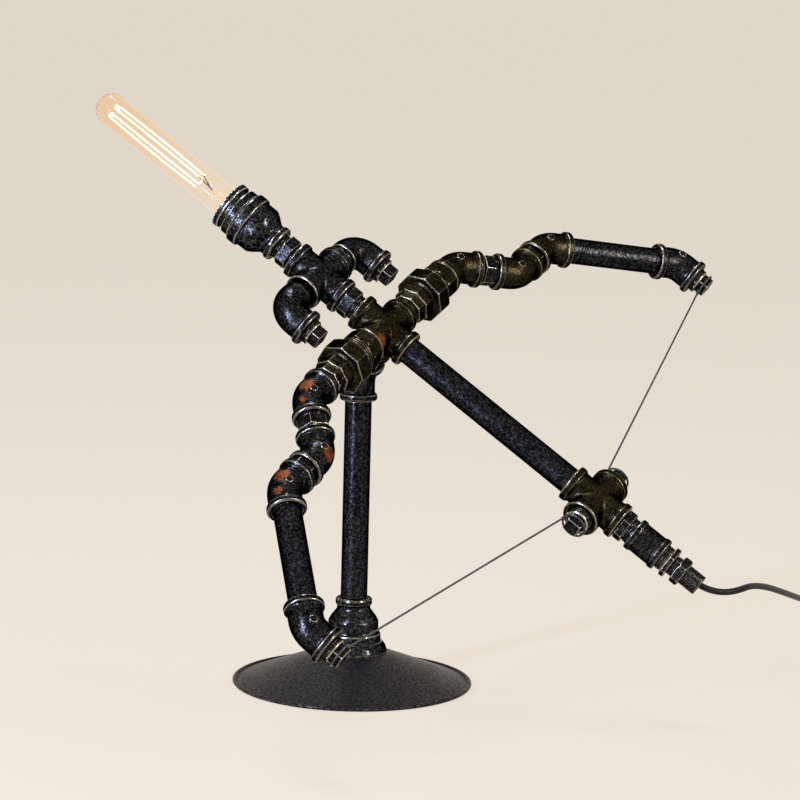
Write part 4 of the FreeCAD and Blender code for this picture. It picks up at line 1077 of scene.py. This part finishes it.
@dataclass
class Casting:
    """A fitting that keeps its node's shape, with a casting's rounded corners and worn edges."""

    node: str
    finish: str = "iron"
    slot: Slot = Slot.IRON
    body: Body = Body.LAMP
    voxel: float = 0.71
    rounds: int = 2
    rust: Sequence[tuple[Vector, float]] = ()
    neck: Neck | None = None
    mark: Vector | None = None

    def build(self) -> bpy.types.Object:
        """Builds the fitting and returns it."""
        thing = relaxed(copy_of(self.node, self.node + "_body"), self.voxel, self.rounds)
        if self.neck is not None:
            self.neck.clear(thing)
        paint_wear(thing)
        if self.mark is not None:
            rings = [self.mould_mark(side) for side in (BOW_NORMAL, -BOW_NORMAL)]
            thing = joined(self.node + "_body", [thing] + rings)
        paint_rust(thing, self.rust)
        dress(thing, self.finish)
        return place_piece(thing, self.body, self.slot, self.node)

    def mould_mark(self, side: Vector, radius: float = 2.8, wire: float = 0.5) -> bpy.types.Object:
        """Makes the rolled rim of the round mould mark on one side of the fitting.

        Args:
            side: the side that the mark is on.
            radius: of the rim's middle, in millimetres.
            wire: half the rim's thickness.

        Returns:
            The rim's object.
        """
        offsets = [v.co - self.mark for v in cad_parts[self.node].data.vertices]
        top = max(p.dot(side) for p in offsets if (p - side * p.dot(side)).length < radius * 1.25 * MM)
        rim = [(radius + wire * math.cos(t), wire * math.sin(t) - wire * 0.4)
               for t in (2 * math.pi * k / 10 for k in range(10))]
        made = turned(self.node + "_mark", rim, stand(self.mark + side * top, side), 36, True)
        return soften_wear(paint_wear(made, 0), 0.5)


@dataclass
class PipeRun:
    """A length of drawn pipe between two fittings, with cut threads that go into them."""

    node: str
    start: Vector
    direction: Vector
    length: float
    radius: float = 10.65
    bore: float = 8.0
    root: float = 9.5
    crest: float = 10.3
    grip: float = 11.5

    def build(self) -> bpy.types.Object:
        """Builds the pipe and returns it."""
        far = self.length
        profile = softened([(self.bore, -self.grip), (self.root, -self.grip), (self.root, -0.4),
                            (self.radius, 0.2), (self.radius, far - 0.2), (self.root, far + 0.4),
                            (self.root, far + self.grip), (self.bore, far + self.grip)], 0.3, 2)
        place = stand(self.start, self.direction)
        tube = turned(self.node + "_tube", resampled(profile, 1.2), place, 72, True)
        parts = [dress(paint_wear(tube), "pipe")]
        for k, (low, high) in enumerate(((1 - self.grip, -1.5), (far + 1.5, far + self.grip - 1))):
            name = f"{self.node}_thread{k}"
            parts.append(helix(name, self.crest, PIPE_PITCH, low, high, "cut", place, 28, 6))
        return place_piece(joined(self.node + "_drawn", parts), Body.LAMP, Slot.IRON, self.node)


@dataclass
class Nipple:
    """A hexagon nipple: a nut's block with a thread on each side."""

    origin: Vector
    direction: Vector
    gap: float
    block: float
    offset: float
    finish: str = "cut"
    flats: float = 22.5
    crest: float = 10.35
    root: float = 9.5
    bore: float = 8.0
    grip: float = 11.5
    chamfer: float = 0.9
    voxel: float = 0.47

    def build(self, name: str) -> bpy.types.Object:
        """Builds one nipple.

        Args:
            name: the new object's name.

        Returns:
            The mesh object, not yet placed on a body.
        """
        side = self.direction.cross(BOW_NORMAL)
        if side.length < 0.1:
            side = LIMBWARD
        place = stand(self.origin, self.direction, side)
        low, high = self.offset, self.offset + self.block
        block = prism(name + "_block", 6, self.flats, low, high, self.chamfer, place)
        block = dress(paint_wear(relaxed(block, self.voxel, 1), 1), self.finish)
        end = self.gap + self.grip
        sleeve = [(self.bore, -self.grip), (self.root, -self.grip), (self.root, end), (self.bore, end)]
        tube = turned(name + "_tube", resampled(sleeve, 1.5), place, 64, True)
        parts = [block, dress(paint_wear(tube), self.finish)]
        for tag, first, last in (("near", 1 - self.grip, low - 0.3), ("far", high + 0.3, end - 1)):
            parts.append(helix(f"{name}_{tag}", self.crest, PIPE_PITCH, first, last, self.finish, place))
        return joined(name, parts)


@dataclass
class PlugSet:
    """Square-headed plugs that close the open ends of the bow."""

    seats: Sequence[tuple[Vector, Vector]]
    thread_out: float = 5.0
    square: float = 12.0
    head: float = 8.0
    crest: float = 10.35
    root: float = 9.5
    grip: float = 11.0
    voxel: float = 0.5

    def build(self) -> bpy.types.Object:
        """Builds all the plugs as one piece and returns it."""
        parts = []
        for k, (face, direction) in enumerate(self.seats):
            place = stand(face, direction)
            collar = [(0, -self.grip), (self.root, -self.grip), (self.root, self.thread_out - 0.6),
                      (self.root - 0.7, self.thread_out), (0, self.thread_out)]
            stem = turned(f"plug{k}_stem", resampled(collar, 1.0), place, 64)
            dress(paint_wear(stem), "cut")
            # The prism's corner points along local X, so an eighth of a turn sets its flats to the frame.
            square_on = place @ Matrix.Rotation(math.radians(45), 4, "Z")
            low, high = self.thread_out - 1, self.thread_out + self.head
            head = prism(f"plug{k}_head", 4, self.square, low, high, 1.0, square_on)
            head = dress(paint_wear(relaxed(head, self.voxel, 1), 1), "iron")
            thread = helix(f"plug{k}_thread", self.crest, PIPE_PITCH, 1 - self.grip, self.thread_out - 0.9,
                           "cut", place)
            parts += [stem, head, thread]
        return place_piece(joined("pipe_plugs_cast", parts), Body.LAMP, Slot.IRON, "pipe_plugs")


@dataclass
class Base:
    """The spun dish with its rolled rim, and the collar that the post's foot stands in."""

    rim: float = 95.6
    lift: float = 0.5
    bead: float = 3.2
    groove: float = 2.2
    top: float = 26.8
    shoulder: float = 27.5
    hole: float = 12.2
    sheet: float = 1.5

    def build(self) -> None:
        """Builds the dish and the collar, and dresses what is under them."""
        fold = self.rim - self.bead
        rim, lift, bead = self.rim, self.lift, self.bead
        outline = [(self.hole, self.top), (self.shoulder, self.top), (fold - 0.1, self.groove)]
        rolled = [(rim - bead / 2 + bead / 2 * math.cos(t), lift + bead / 2 + bead / 2 * math.sin(t))
                  for t in (math.radians(angle) for angle in range(165, -150, -15))]
        inside = self.top - self.sheet
        under = [(fold - 1, lift + 0.25), (self.shoulder, inside), (self.hole, inside)]
        outline = softened(outline + rolled, 1.0) + under
        dish = turned("base_dish_spun", resampled(outline, 1.8), stand(Vector(), UP), 160, True)
        paint_wear(dish)
        place_piece(dress(dish, "base"), Body.LAMP, Slot.BASE, "base_dish")
        Casting("base_collar", "gloss", Slot.GLOSS).build()
        Casting("base_reducer", "gloss", Slot.GLOSS).build()
        for node, finish in (("base_weight", "raw"), ("base_pad", "rubber"), ("base_stud", "raw")):
            dress_node(node, finish)


def holder_place() -> Matrix:
    """Returns the frame of the lampholder and the bulb: Z runs out of the mouth."""
    return stand(MOUTH + TAILWARD * (HOLDER_DEPTH * MM), -TAILWARD, BOW_NORMAL)


def inner_radius(node: str, place: Matrix) -> float:
    """Returns the least distance of a node's points from the local Z axis, in millimetres."""
    points = [place.inverted() @ v.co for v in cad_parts[node].data.vertices]
    return min(Vector((p.x, p.y)).length for p in points) / MM


@dataclass
class Lampholder:
    """The turned lampholder in the head's wide mouth, with its toothed shade ring and porcelain core."""

    ring_low: float = 26.8
    ring_high: float = 31.5
    ring_radius: float = 19.4
    ring_root: float = 18.3
    teeth: int = 30
    tooth_wear: float = 0.14

    def build(self) -> None:
        """Builds the body and the ring, and dresses the core."""
        Casting("lampholder_body", "gloss", Slot.GLOSS, voxel=0.56, rounds=1).build()
        self.ring()
        for node, finish in (("lampholder_core", "porcelain"), ("lampholder_shell", "brass"),
                             ("lampholder_contact", "brass")):
            dress_node(node, finish)

    def ring(self) -> bpy.types.Object:
        """Builds the shade ring with its teeth and returns it."""
        place, low, high = holder_place(), self.ring_low, self.ring_high
        inner = inner_radius("lampholder_ring", place)
        rim = softened([(inner, low), (self.ring_radius, low), (self.ring_radius, low + 1.3),
                        (self.ring_root, low + 1.5), (self.ring_root, high), (inner, high)], 0.3, 2)
        band = dress(paint_wear(turned("ring_band", resampled(rim, 0.6), place, 120, True)), "gloss")
        work = bmesh.new()
        width = 2 * math.pi * self.ring_radius / self.teeth * 0.52
        bmesh.ops.create_cube(work, size=1.0)
        deep = self.ring_radius - self.ring_root + 0.8
        bmesh.ops.scale(work, vec=(deep * MM, width * MM, (high - low - 1.2) * MM), verts=work.verts)
        bmesh.ops.bevel(work, geom=work.edges[:], offset=0.3 * MM, segments=2, affect="EDGES", profile=0.5)
        bmesh.ops.translate(work, vec=((self.ring_radius - deep / 2) * MM, 0, (low + 1.2 + high) / 2 * MM),
                            verts=work.verts)
        tooth = from_bmesh("ring_tooth", work)
        Shapes.get("round", round_shape).run(tooth, {"Count": self.teeth, "Share": 1.0,
                                                     "Material": Finishes.get("gloss")})
        tooth.data.transform(place)
        soften_wear(paint_wear(tooth, 1), self.tooth_wear)
        made = joined("lampholder_ring_cut", [band, tooth])
        return place_piece(made, Body.RING, Slot.IRON, "lampholder_ring")


@dataclass
class Bulb:
    """The lit tubular bulb: glass, a pressed stem, and hairpins of glowing wire round its axis."""

    hairpins: int = 4
    wire: float = 0.46
    circle: float = 6.0
    low: float = 62.05
    high: float = 148.9
    bow: float = 0.7
    crown: float = 1.6
    sag: float = 1.2
    stem_top: float = 48.05

    def build(self) -> None:
        """Builds the filament and dresses the glass, the stem and the cap."""
        dress_node("bulb_glass", "glass")
        dress_node("bulb_stem", "stem_glass")
        dress_node("bulb_cap", "brass")
        self.filament()

    def filament(self) -> bpy.types.Object:
        """Winds the hairpins and their leads, and returns them as one piece."""
        half = math.pi / (2 * self.hairpins)
        runs = []
        for sign in (-1, 1):
            shares = [k / 12 for k in range(13)]
            runs.append([self.on_circle(sign * half, self.low + (self.high - self.low) * share,
                                        self.bow * math.sin(math.pi * share)) for share in shares])
        top = [self.on_circle(half * share, self.high + self.crown * math.cos(share * 1.5))
               for share in (-0.75, -0.4, 0.0, 0.4, 0.75)]
        line = runs[0] + top + runs[1][::-1]
        hairpin = tube_along("hairpin", line, self.wire)
        Shapes.get("round", round_shape).run(hairpin, {"Count": self.hairpins, "Share": 1.0,
                                                       "Material": Finishes.get("filament")})
        hooks = []
        for k in range(self.hairpins - 1):
            start = (2 * k + 1) * 2 * half - half
            arc = [self.on_circle(start + 2 * half * share, self.low - self.sag * math.sin(share * math.pi))
                   for share in (0, 0.25, 0.5, 0.75, 1)]
            hooks.append(dress(tube_along(f"hook{k}", arc, self.wire), "filament"))
        for k, sign in enumerate((1, -1)):
            foot = Vector((1.0, -0.8 * k, self.stem_top + self.wire + 0.05))
            end = self.on_circle(-sign * half, self.low)
            middle = foot.lerp(end, 0.5) + Vector((0.8, sign * -0.6, 2.0))
            hooks.append(dress(tube_along(f"lead{k}", (foot, middle, end), self.wire), "steel"))
        thing = joined("bulb_filament_wound", [hairpin] + hooks)
        thing.data.transform(holder_place())
        return place_piece(thing, Body.BULB, Slot.FILAMENT, "bulb_filament")

    def on_circle(self, angle: float, height: float, wider: float = 0.0) -> Vector:
        """Returns a point on the hairpins' circle, or so much outside it, in millimetres."""
        radius = self.circle + wider
        return Vector((radius * math.cos(angle), radius * math.sin(angle), height))


def wire_curve(name: str, line: Sequence[Sequence[float]], radius: float, around: int, along: int
               ) -> bpy.types.Object:
    """Makes the curve of a round wire or cord.

    Args:
        name: the new object's name.
        line: the control points of its middle, in millimetres.
        radius: the wire's radius in millimetres.
        around: how fine its section is.
        along: how fine each span is.

    Returns:
        The curve object of one NURBS spline.
    """
    curve = bpy.data.curves.new(name, "CURVE")
    curve.dimensions = "3D"
    curve.bevel_depth = radius * MM
    curve.bevel_resolution = around
    curve.use_fill_caps = True
    curve.resolution_u = along
    spline = curve.splines.new("NURBS")
    spline.points.add(len(line) - 1)
    for point, (x, y, z) in zip(spline.points, line):
        point.co = (x * MM, y * MM, z * MM, 1.0)
    spline.order_u = 3
    spline.use_endpoint_u = True
    return new_object(name, curve)


def tube_along(name: str, line: Sequence[Vector], radius: float) -> bpy.types.Object:
    """Makes the mesh of a round wire.

    Args:
        name: the new object's name.
        line: the points of its middle, in millimetres.
        radius: the wire's radius in millimetres.

    Returns:
        The new mesh object.
    """
    holder = wire_curve(name, line, radius, 1, 4)
    curve = holder.data
    bpy.context.view_layer.update()
    graph = bpy.context.evaluated_depsgraph_get()
    mesh = bpy.data.meshes.new_from_object(holder.evaluated_get(graph))
    bpy.data.objects.remove(holder)
    bpy.data.curves.remove(curve)
    mesh.shade_smooth()
    return new_object(name, mesh)


@dataclass
class Bowstring:
    """A wire string from the tail to a limb's end: twisted strands, with a loop round each square head."""

    node: str
    start: Vector
    end: Vector
    start_axis: Vector
    end_axis: Vector
    start_leave: Vector
    end_leave: Vector
    radius: float = 0.8
    strands: int = 7
    lay: float = 13.0
    loop: float = 9.44

    def build(self) -> bpy.types.Object:
        """Builds the string and returns it."""
        leave, arrive = self.leaves()
        run = arrive - leave
        length = run.length / MM
        strand = self.radius * 0.46
        shape = Shapes.get("helix", helix_shape)
        rope = new_object(self.node + "_strand", bpy.data.meshes.new(self.node + "_strand"))
        steel = Finishes.get("steel")
        shape.run(rope, {
            "Radius": (self.radius - strand) * MM, "Height": length * MM, "Turns": length / self.lay,
            "Ridge": strand * MM, "Steps": 14, "Facets": 6, "Material": steel})
        Shapes.get("round", round_shape).run(rope, {"Count": self.strands, "Share": 1.0, "Material": steel})
        rope.data.transform(stand(leave, run))
        parts = [rope]
        for tag, centre, axis, at in (("tail", self.start, self.start_axis, leave),
                                      ("limb", self.end, self.end_axis, arrive)):
            ring = [(self.loop + self.radius * math.cos(t), self.radius * math.sin(t))
                    for t in (2 * math.pi * k / 12 for k in range(12))]
            knot = softened([(0, -1.5), (1.5, -1.5), (1.5, 1.5), (0, 1.5)], 1.0, 4)
            name = f"{self.node}_{tag}"
            parts.append(dress(turned(name + "_loop", ring, stand(centre, axis), 64, True), "steel"))
            parts.append(dress(turned(name + "_knot", knot, stand(at, run), 24), "steel"))
        return place_piece(joined(self.node + "_wire", parts), Body.LAMP, Slot.CABLE, self.node)

    def leaves(self) -> tuple[Vector, Vector]:
        """Returns where the straight wire leaves the tail's loop and meets the limb's."""
        wide = self.loop * MM
        return self.start + self.start_leave * wide, self.end + self.end_leave * wide


@dataclass
class MainsLead:
    """The mains cord: out of the tail's gland, down to an inline switch, and a coil that ends in the plug."""

    radius: float = 2.5
    coil: float = 37.2
    pitch: float = 5.7
    turns: float = 8.5
    per_turn: int = 16
    coil_middle: tuple[float, float] = (442.8, 19.27)
    lead: Sequence[tuple[float, float, float]] = (
        (253.7175, -103.7307, 115.3651), (261.3, -106.0, 109.8), (272.8, -105.7, 104.7),
        (284.5, -102.0, 102.8), (295.3, -95.8, 103.8), (305.8, -81.0, 104.4), (321.2, -52.0, 97.8),
        (338.4, -12.0, 85.8),
        (356.2, 34.0, 72.3), (372.8, 80.0, 59.1), (392.0, 122.0, 44.0), (416.0, 150.0, 31.0),
        (446.0, 157.0, 19.5), (472.0, 144.0, 10.5), (480.0, 128.0, 7.0), (480.0, 112.0, 7.0))

    def coil_points(self) -> list[tuple[float, float, float]]:
        """Returns the control points of the wound length, from the switch to the plug, in millimetres."""
        points = [(480.0, 50.0, 7.0), (480.0, 43.0, 7.0), (480.0, 28.0, 2.5)]
        whole = self.turns * 2 * math.pi
        steps = round(self.turns * self.per_turn)
        for k in range(steps):
            angle = (k + 0.5) * 2 * math.pi / self.per_turn
            radius = self.coil - self.pitch * min(angle, whole - angle) / (2 * math.pi)
            radius /= math.cos(math.pi / self.per_turn)
            share = min(max((angle - 8 * math.pi) / math.pi, 0.0), 1.0)
            height = self.radius + self.pitch * (1 - math.cos(math.pi * share)) / 2
            points.append((self.coil_middle[0] + radius * math.cos(angle),
                           self.coil_middle[1] - radius * math.sin(angle), height))
        end = self.coil_middle[0] - self.coil
        return points + [(end, 27.0, 8.2), (end, 38.0, 8.2), (end, 49.27, 8.2)]

    def curve(self, name: str, points: Sequence[tuple[float, float, float]]) -> bpy.types.Object:
        """Makes a cord's curve through control points in millimetres, and returns it."""
        thing = wire_curve(name, points, self.radius, 5, 6)
        thing.data.materials.append(Finishes.get("flex"))
        return thing

    def build(self) -> None:
        """Builds both lengths of cord with the switch and the plug."""
        switch = self.switch()
        rocker = self.rocker()
        plug = self.plug()
        pins = self.pins()
        lead = self.curve("cord_lead_flex", self.lead)
        coil = self.curve("cord_coil_flex", self.coil_points())
        for thing, node in ((lead, "cord_lead"), (coil, "cord_coil")):
            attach(thing, Body.LAMP.value)
            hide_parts(node)
        for node, finish in (("tail_gland", "moulding"), ("inner_flex", "flex")):
            dress_node(node, finish)
        tuple(c * MM for c in self.lead[0])

    def switch(self) -> bpy.types.Object:
        """Builds the switch's housing: a moulded shell with four grip ribs on each side."""
        parts = [dress(paint_wear(relaxed(copy_of("switch_housing", "switch_shell"), 0.7, 3)), "moulding")]
        row = Shapes.get("row", row_shape)
        for x in (467.5, 492.5):
            rib = self.block((1.0, 1.1, 8.0), (x, 58.0, 9.5), 0.4)
            row.run(rib, {"Count": 4, "Step": (0.0, 2.4 * MM, 0.0), "Material": Finishes.get("moulding")})
            parts.append(rib)
        thing = joined("switch_housing_moulded", parts)
        return place_piece(thing, Body.LAMP, Slot.MOULDING, "switch_housing")

    def rocker(self) -> bpy.types.Object:
        """Builds the switch's rocker."""
        thing = relaxed(copy_of("switch_rocker", "switch_rocker_moulded"), 0.45, 2)
        dress(paint_wear(thing), "moulding")
        return place_piece(thing, Body.ROCKER, Slot.MOULDING, "switch_rocker")

    def plug(self) -> bpy.types.Object:
        """Builds the plug's body."""
        thing = relaxed(copy_of("plug_body", "plug_body_moulded"), 0.6, 2)
        dress(paint_wear(thing), "moulding")
        return place_piece(thing, Body.LAMP, Slot.MOULDING, "plug_body")

    def pins(self) -> bpy.types.Object:
        """Builds the two round pins."""
        thing = relaxed(copy_of("plug_pins", "plug_pins_turned"), 0.42, 1)
        dress(paint_wear(thing), "brass")
        return place_piece(thing, Body.LAMP, Slot.PIN, "plug_pins")

    def block(self, size: tuple[float, float, float], middle: tuple[float, float, float], round_: float
              ) -> bpy.types.Object:
        """Makes a small block with rounded edges; sizes in millimetres."""
        work = bmesh.new()
        bmesh.ops.create_cube(work, size=1.0)
        bmesh.ops.scale(work, vec=tuple(s * MM for s in size), verts=work.verts)
        bmesh.ops.bevel(work, geom=work.edges[:], offset=round_ * MM, segments=3, affect="EDGES", profile=0.5)
        bmesh.ops.translate(work, vec=tuple(s * MM for s in middle), verts=work.verts)
        return from_bmesh("block", work)


@dataclass
class Bow:
    """The stock, the limbs and what closes their ends."""

    cross: float = 25.0
    elbow: float = 20.5
    union: float = 60.25
    long_gap: float = 13.2
    short_gap: float = 5.6
    limb: float = 80.2
    fourth: dict[int, Vector] = field(default_factory=dict)

    def build(self) -> None:
        """Builds every fitting of the bow."""
        self.stock()
        self.limbs()
        self.ends()

    def stock(self) -> None:
        """Builds the crosses, the shaft and what stands between them."""
        flat = [TAILWARD, -TAILWARD, LIMBWARD, -LIMBWARD]
        rusty = [(CENTRE - LIMBWARD * (21 * MM) + BOW_NORMAL * (10 * MM) + TAILWARD * (6 * MM), 8.0)]
        CrossFitting("centre_cross", CENTRE, flat + [-BOW_NORMAL], "olive", rust=rusty).build()
        CrossFitting("head_cross", HEAD, flat).build()
        CrossFitting("tail_cross", TAIL, flat, "olive").build()
        PipeRun("shaft_pipe", CENTRE + TAILWARD * (self.cross * MM), TAILWARD, 161.0).build()
        PipeRun("post_pipe", UP * (70.5 * MM), UP, 158.5).build()
        Casting("post_elbow").build()
        for name, middle, direction, gap, offset in (("post_nipple", CENTRE, -BOW_NORMAL, 10.4, 0.45),
                                                     ("neck_nipple", CENTRE, -TAILWARD, 15.5, 5.0),
                                                     ("head_nipple", HEAD, -TAILWARD, 15.5, 2.5)):
            nipple = Nipple(middle + direction * (self.cross * MM), direction, gap, 9.5, offset)
            place_piece(nipple.build(name + "_turned"), Body.LAMP, Slot.IRON, name)
        Casting("head_reducer", "gloss", Slot.GLOSS).build()
        for side in ("upper", "lower"):
            Casting("barb_elbow_" + side).build()

    def limbs(self) -> None:
        """Builds the unions, the elbows, the nipples and the pipe of both limbs."""
        long_ones, short_ones = [], []
        for sign, side in ((1, "upper"), (-1, "lower")):
            finish = "olive" if sign > 0 else "iron"
            out = LIMBWARD * sign
            lean = (out + TAILWARD).normalized()
            one = CENTRE + out * ((self.cross + self.union + self.elbow) * MM)
            two = one + lean * ((2 * self.elbow + self.long_gap) * MM)
            three = two + out * ((2 * self.elbow + self.short_gap) * MM)
            four = three + lean * ((2 * self.elbow + self.limb) * MM)
            self.fourth[sign] = four
            for k, (centre, from_side) in enumerate(((one, 1), (two, -1), (three, 1), (four, -1)), 1):
                rust = []
                if sign < 0 and k < 4:
                    rust = [(centre + BOW_NORMAL * (11 * MM) - TAILWARD * (7 * MM * from_side), 9.0),
                            (centre + BOW_NORMAL * (9 * MM) - LIMBWARD * (12 * MM), 5.0)]
                Casting(f"elbow_{k}_{side}", finish if k < 4 else "iron", rust=rust, mark=centre).build()
            for part in ("tail", "nut", "barrel"):
                body = Body["NUT_" + side.upper()] if part == "nut" else Body.LAMP
                neck = Neck("union_nut_" + side, CENTRE, out) if part == "tail" else None
                Casting(f"union_{part}_{side}", "olive", body=body, voxel=0.58, rounds=1, neck=neck).build()
            half = self.elbow * MM
            long_ones.append(Nipple(one + lean * half, lean, self.long_gap, 9.5, 1.85))
            short_ones.append(Nipple(two + out * half, out, self.short_gap, 5.0, 0.3, chamfer=0.6))
            PipeRun("limb_pipe_" + side, three + lean * half, lean, self.limb).build()
        for name, ones in (("limb_nipples_long", long_ones), ("limb_nipples_short", short_ones)):
            made = joined(name + "_turned", [one.build(f"{name}_{k}") for k, one in enumerate(ones)])
            place_piece(made, Body.LAMP, Slot.IRON, name)

    def ends(self) -> None:
        """Builds the plugs, the strings and the tail's own pieces."""
        seats = []
        for sign in (1, -1):
            barb = HEAD + LIMBWARD * (sign * 50.5 * MM)
            seats.append((barb + TAILWARD * (26.0 * MM), TAILWARD))
            seats.append((self.fourth[sign] + TAILWARD * (self.elbow * MM), TAILWARD))
            seats.append((TAIL + LIMBWARD * (sign * self.cross * MM), LIMBWARD * sign))
        PlugSet(seats).build()
        for sign, side in ((1, "upper"), (-1, "lower")):
            out = LIMBWARD * sign
            Bowstring("string_" + side, TAIL + out * ((self.cross + 9.0) * MM),
                      self.fourth[sign] + TAILWARD * ((self.elbow + 9.0) * MM), out, TAILWARD,
                      -TAILWARD, -out).build()
        face = TAIL + TAILWARD * (self.cross * MM)
        nipple = Nipple(face, TAILWARD, 12.0, 7.1, 0.5)
        place_piece(nipple.build("tail_nipple_turned"), Body.LAMP, Slot.IRON, "tail_nipple")
        Casting("tail_coupling", voxel=0.56).build()
        far = face + TAILWARD * ((12.0 + 28.0) * MM)
        self.tail_end(far)
        Casting("tail_locknut", "cut", voxel=0.45, rounds=1).build()

    def tail_end(self, far: Vector) -> bpy.types.Object:
        """Builds the long threaded end that the cord leaves by.

        Args:
            far: the coupling's far face.

        Returns:
            The placed piece.
        """
        place = stand(far, TAILWARD, LIMBWARD)
        block = prism("tail_end_block", 6, 22.5, 5.5, 10.0, 0.7, place)
        parts = [dress(paint_wear(relaxed(block, 0.47, 1), 1), "cut")]
        big = resampled([(6.25, -11), (9.5, -11), (9.5, 6), (6.25, 6)], 1.2)
        thin = softened([(6.25, 9.0), (7.6, 9.0), (7.6, 36.0), (7.1, 36.5), (6.25, 36.5)], 0.3, 2)
        for tag, profile in (("big", big), ("thin", resampled(thin, 0.9))):
            parts.append(dress(paint_wear(turned("tail_end_" + tag, profile, place, 64, True)), "cut"))
        parts.append(helix("tail_end_in", 10.35, PIPE_PITCH, -10, 5.2, "cut", place))
        parts.append(helix("tail_end_out", 8.35, SLIM_PITCH, 10.4, 36.0, "cut", place))
        return place_piece(joined("tail_end_turned", parts), Body.LAMP, Slot.IRON, "tail_end_nipple")


def seen_rays(tree: bpy.types.NodeTree, path: bpy.types.Node) -> bpy.types.NodeSocket:
    """Returns a socket that is one for camera, glossy and transmission rays, which show the background."""
    seen = path.outputs["Is Camera Ray"]
    for ray in ("Is Glossy Ray", "Is Transmission Ray"):
        seen = maths(tree, "MAXIMUM", seen, path.outputs[ray])
    return seen


@dataclass
class Studio:
    """The camera at the photograph's place, a plain pale floor and soft light."""

    sensor: float = 36.0
    lens: float = 129.74
    eye: tuple[float, float, float] = (32.8, -2252.6, 556.4)
    right: tuple[float, float, float] = (0.99969, 0.00358, 0.0247)
    above: tuple[float, float, float] = (-0.02496, 0.14345, 0.98934)
    ahead: tuple[float, float, float] = (0.0, 0.98965, -0.14349)
    # Metres. The floor is so wide that its edge isn't seen apart from the background.
    half_floor: float = 600.0
    far: float = 1200.0

    def build(self) -> None:
        """Builds the whole stage."""
        self.camera()
        self.floor()
        self.world()
        self.lamps()
        bpy.context.scene.view_settings.view_transform = "Standard"

    def camera(self) -> None:
        """Sets the camera up."""
        data = bpy.data.cameras.new("view")
        data.lens, data.sensor_width, data.sensor_fit = self.lens, self.sensor, "HORIZONTAL"
        data.clip_end = self.far
        thing = bpy.data.objects.new("view", data)
        bpy.context.scene.collection.objects.link(thing)
        axes = Matrix((Vector(self.right), Vector(self.above), -Vector(self.ahead))).transposed().to_4x4()
        axes.translation = Vector(self.eye) * MM
        thing.matrix_world = axes
        bpy.context.scene.camera = thing

    def floor(self) -> None:
        """Lays the floor. The camera sees it lit evenly; everything else sees a plain matt surface."""
        work = bmesh.new()
        bmesh.ops.create_grid(work, x_segments=1, y_segments=1, size=self.half_floor)
        thing = from_bmesh("floor", work)
        material, tree, surface = blank_material("pale_matt_floor")
        path = add_node(tree, "ShaderNodeLightPath")
        seen = seen_rays(tree, path)
        plain = add_node(tree, "ShaderNodeBsdfPrincipled", {"Base Color": linear("#d8cfc2"), "Roughness": 0.7,
                                                            "Specular IOR Level": 0.15})
        bright = add_node(tree, "ShaderNodeEmission", {"Color": linear("#e3dacd"), "Strength": 0.94})
        shadow = add_node(tree, "ShaderNodeBsdfDiffuse", {"Color": linear("#5c5854")})
        even = add_node(tree, "ShaderNodeAddShader", {0: bright.outputs[0], 1: shadow.outputs[0]})
        mixed = add_node(tree, "ShaderNodeMixShader", {0: seen, 1: plain.outputs[0], 2: even.outputs[0]})
        tree.links.new(mixed.outputs[0], surface)
        thing.data.materials.append(material)

    def world(self) -> None:
        """Sets the even light from all sides, and the pale background that the camera and metal see."""
        world = bpy.data.worlds.new("room")
        bpy.context.scene.world = world
        world.use_nodes = True
        tree = world.node_tree
        tree.nodes.clear()
        path = add_node(tree, "ShaderNodeLightPath")
        seen = seen_rays(tree, path)
        light = add_node(tree, "ShaderNodeBackground", {"Color": linear("#e4e8f2"), "Strength": 0.3})
        shown = add_node(tree, "ShaderNodeBackground", {"Color": linear("#e6ddd0"), "Strength": 1.0})
        mixed = add_node(tree, "ShaderNodeMixShader", {0: seen, 1: light.outputs[0], 2: shown.outputs[0]})
        out = add_node(tree, "ShaderNodeOutputWorld")
        tree.links.new(mixed.outputs[0], out.inputs["Surface"])

    def lamps(self) -> None:
        """Hangs the soft boxes."""
        for name, place, size, power, colour in (
                ("key", (-1.5, -1.75, 1.15), (0.09, 1.8), 66.0, "#cfdcff"),
                ("side", (-0.72, -0.85, 0.42), (0.16, 0.9), 12.0, "#cfdcff"),
                ("fill", (1.8, -1.2, 1.0), (0.08, 1.3), 30.0, "#fff4e6"),
                ("top", (-0.2, 0.3, 2.2), (0.3, 0.9), 26.0, "#f4f7ff")):
            data = bpy.data.lights.new(name, "AREA")
            data.shape = "RECTANGLE"
            data.size, data.size_y = size
            data.energy = power
            data.color = linear(colour)[:3]
            thing = bpy.data.objects.new(name, data)
            thing.visible_camera = False
            bpy.context.scene.collection.objects.link(thing)
            aim = Vector((0.05, 0.0, 0.25)) - Vector(place)
            thing.matrix_world = Matrix.Translation(place) @ aim.to_track_quat("-Z", "Y").to_matrix().to_4x4()


def main() -> None:
    logging.basicConfig(level=logging.INFO, format="%(name)s: %(message)s")
    Studio().build()
    MainsLead().build()
    Base().build()
    Bow().build()
    Lampholder().build()
    Bulb().build()


if __name__ == "__main__":
    main()
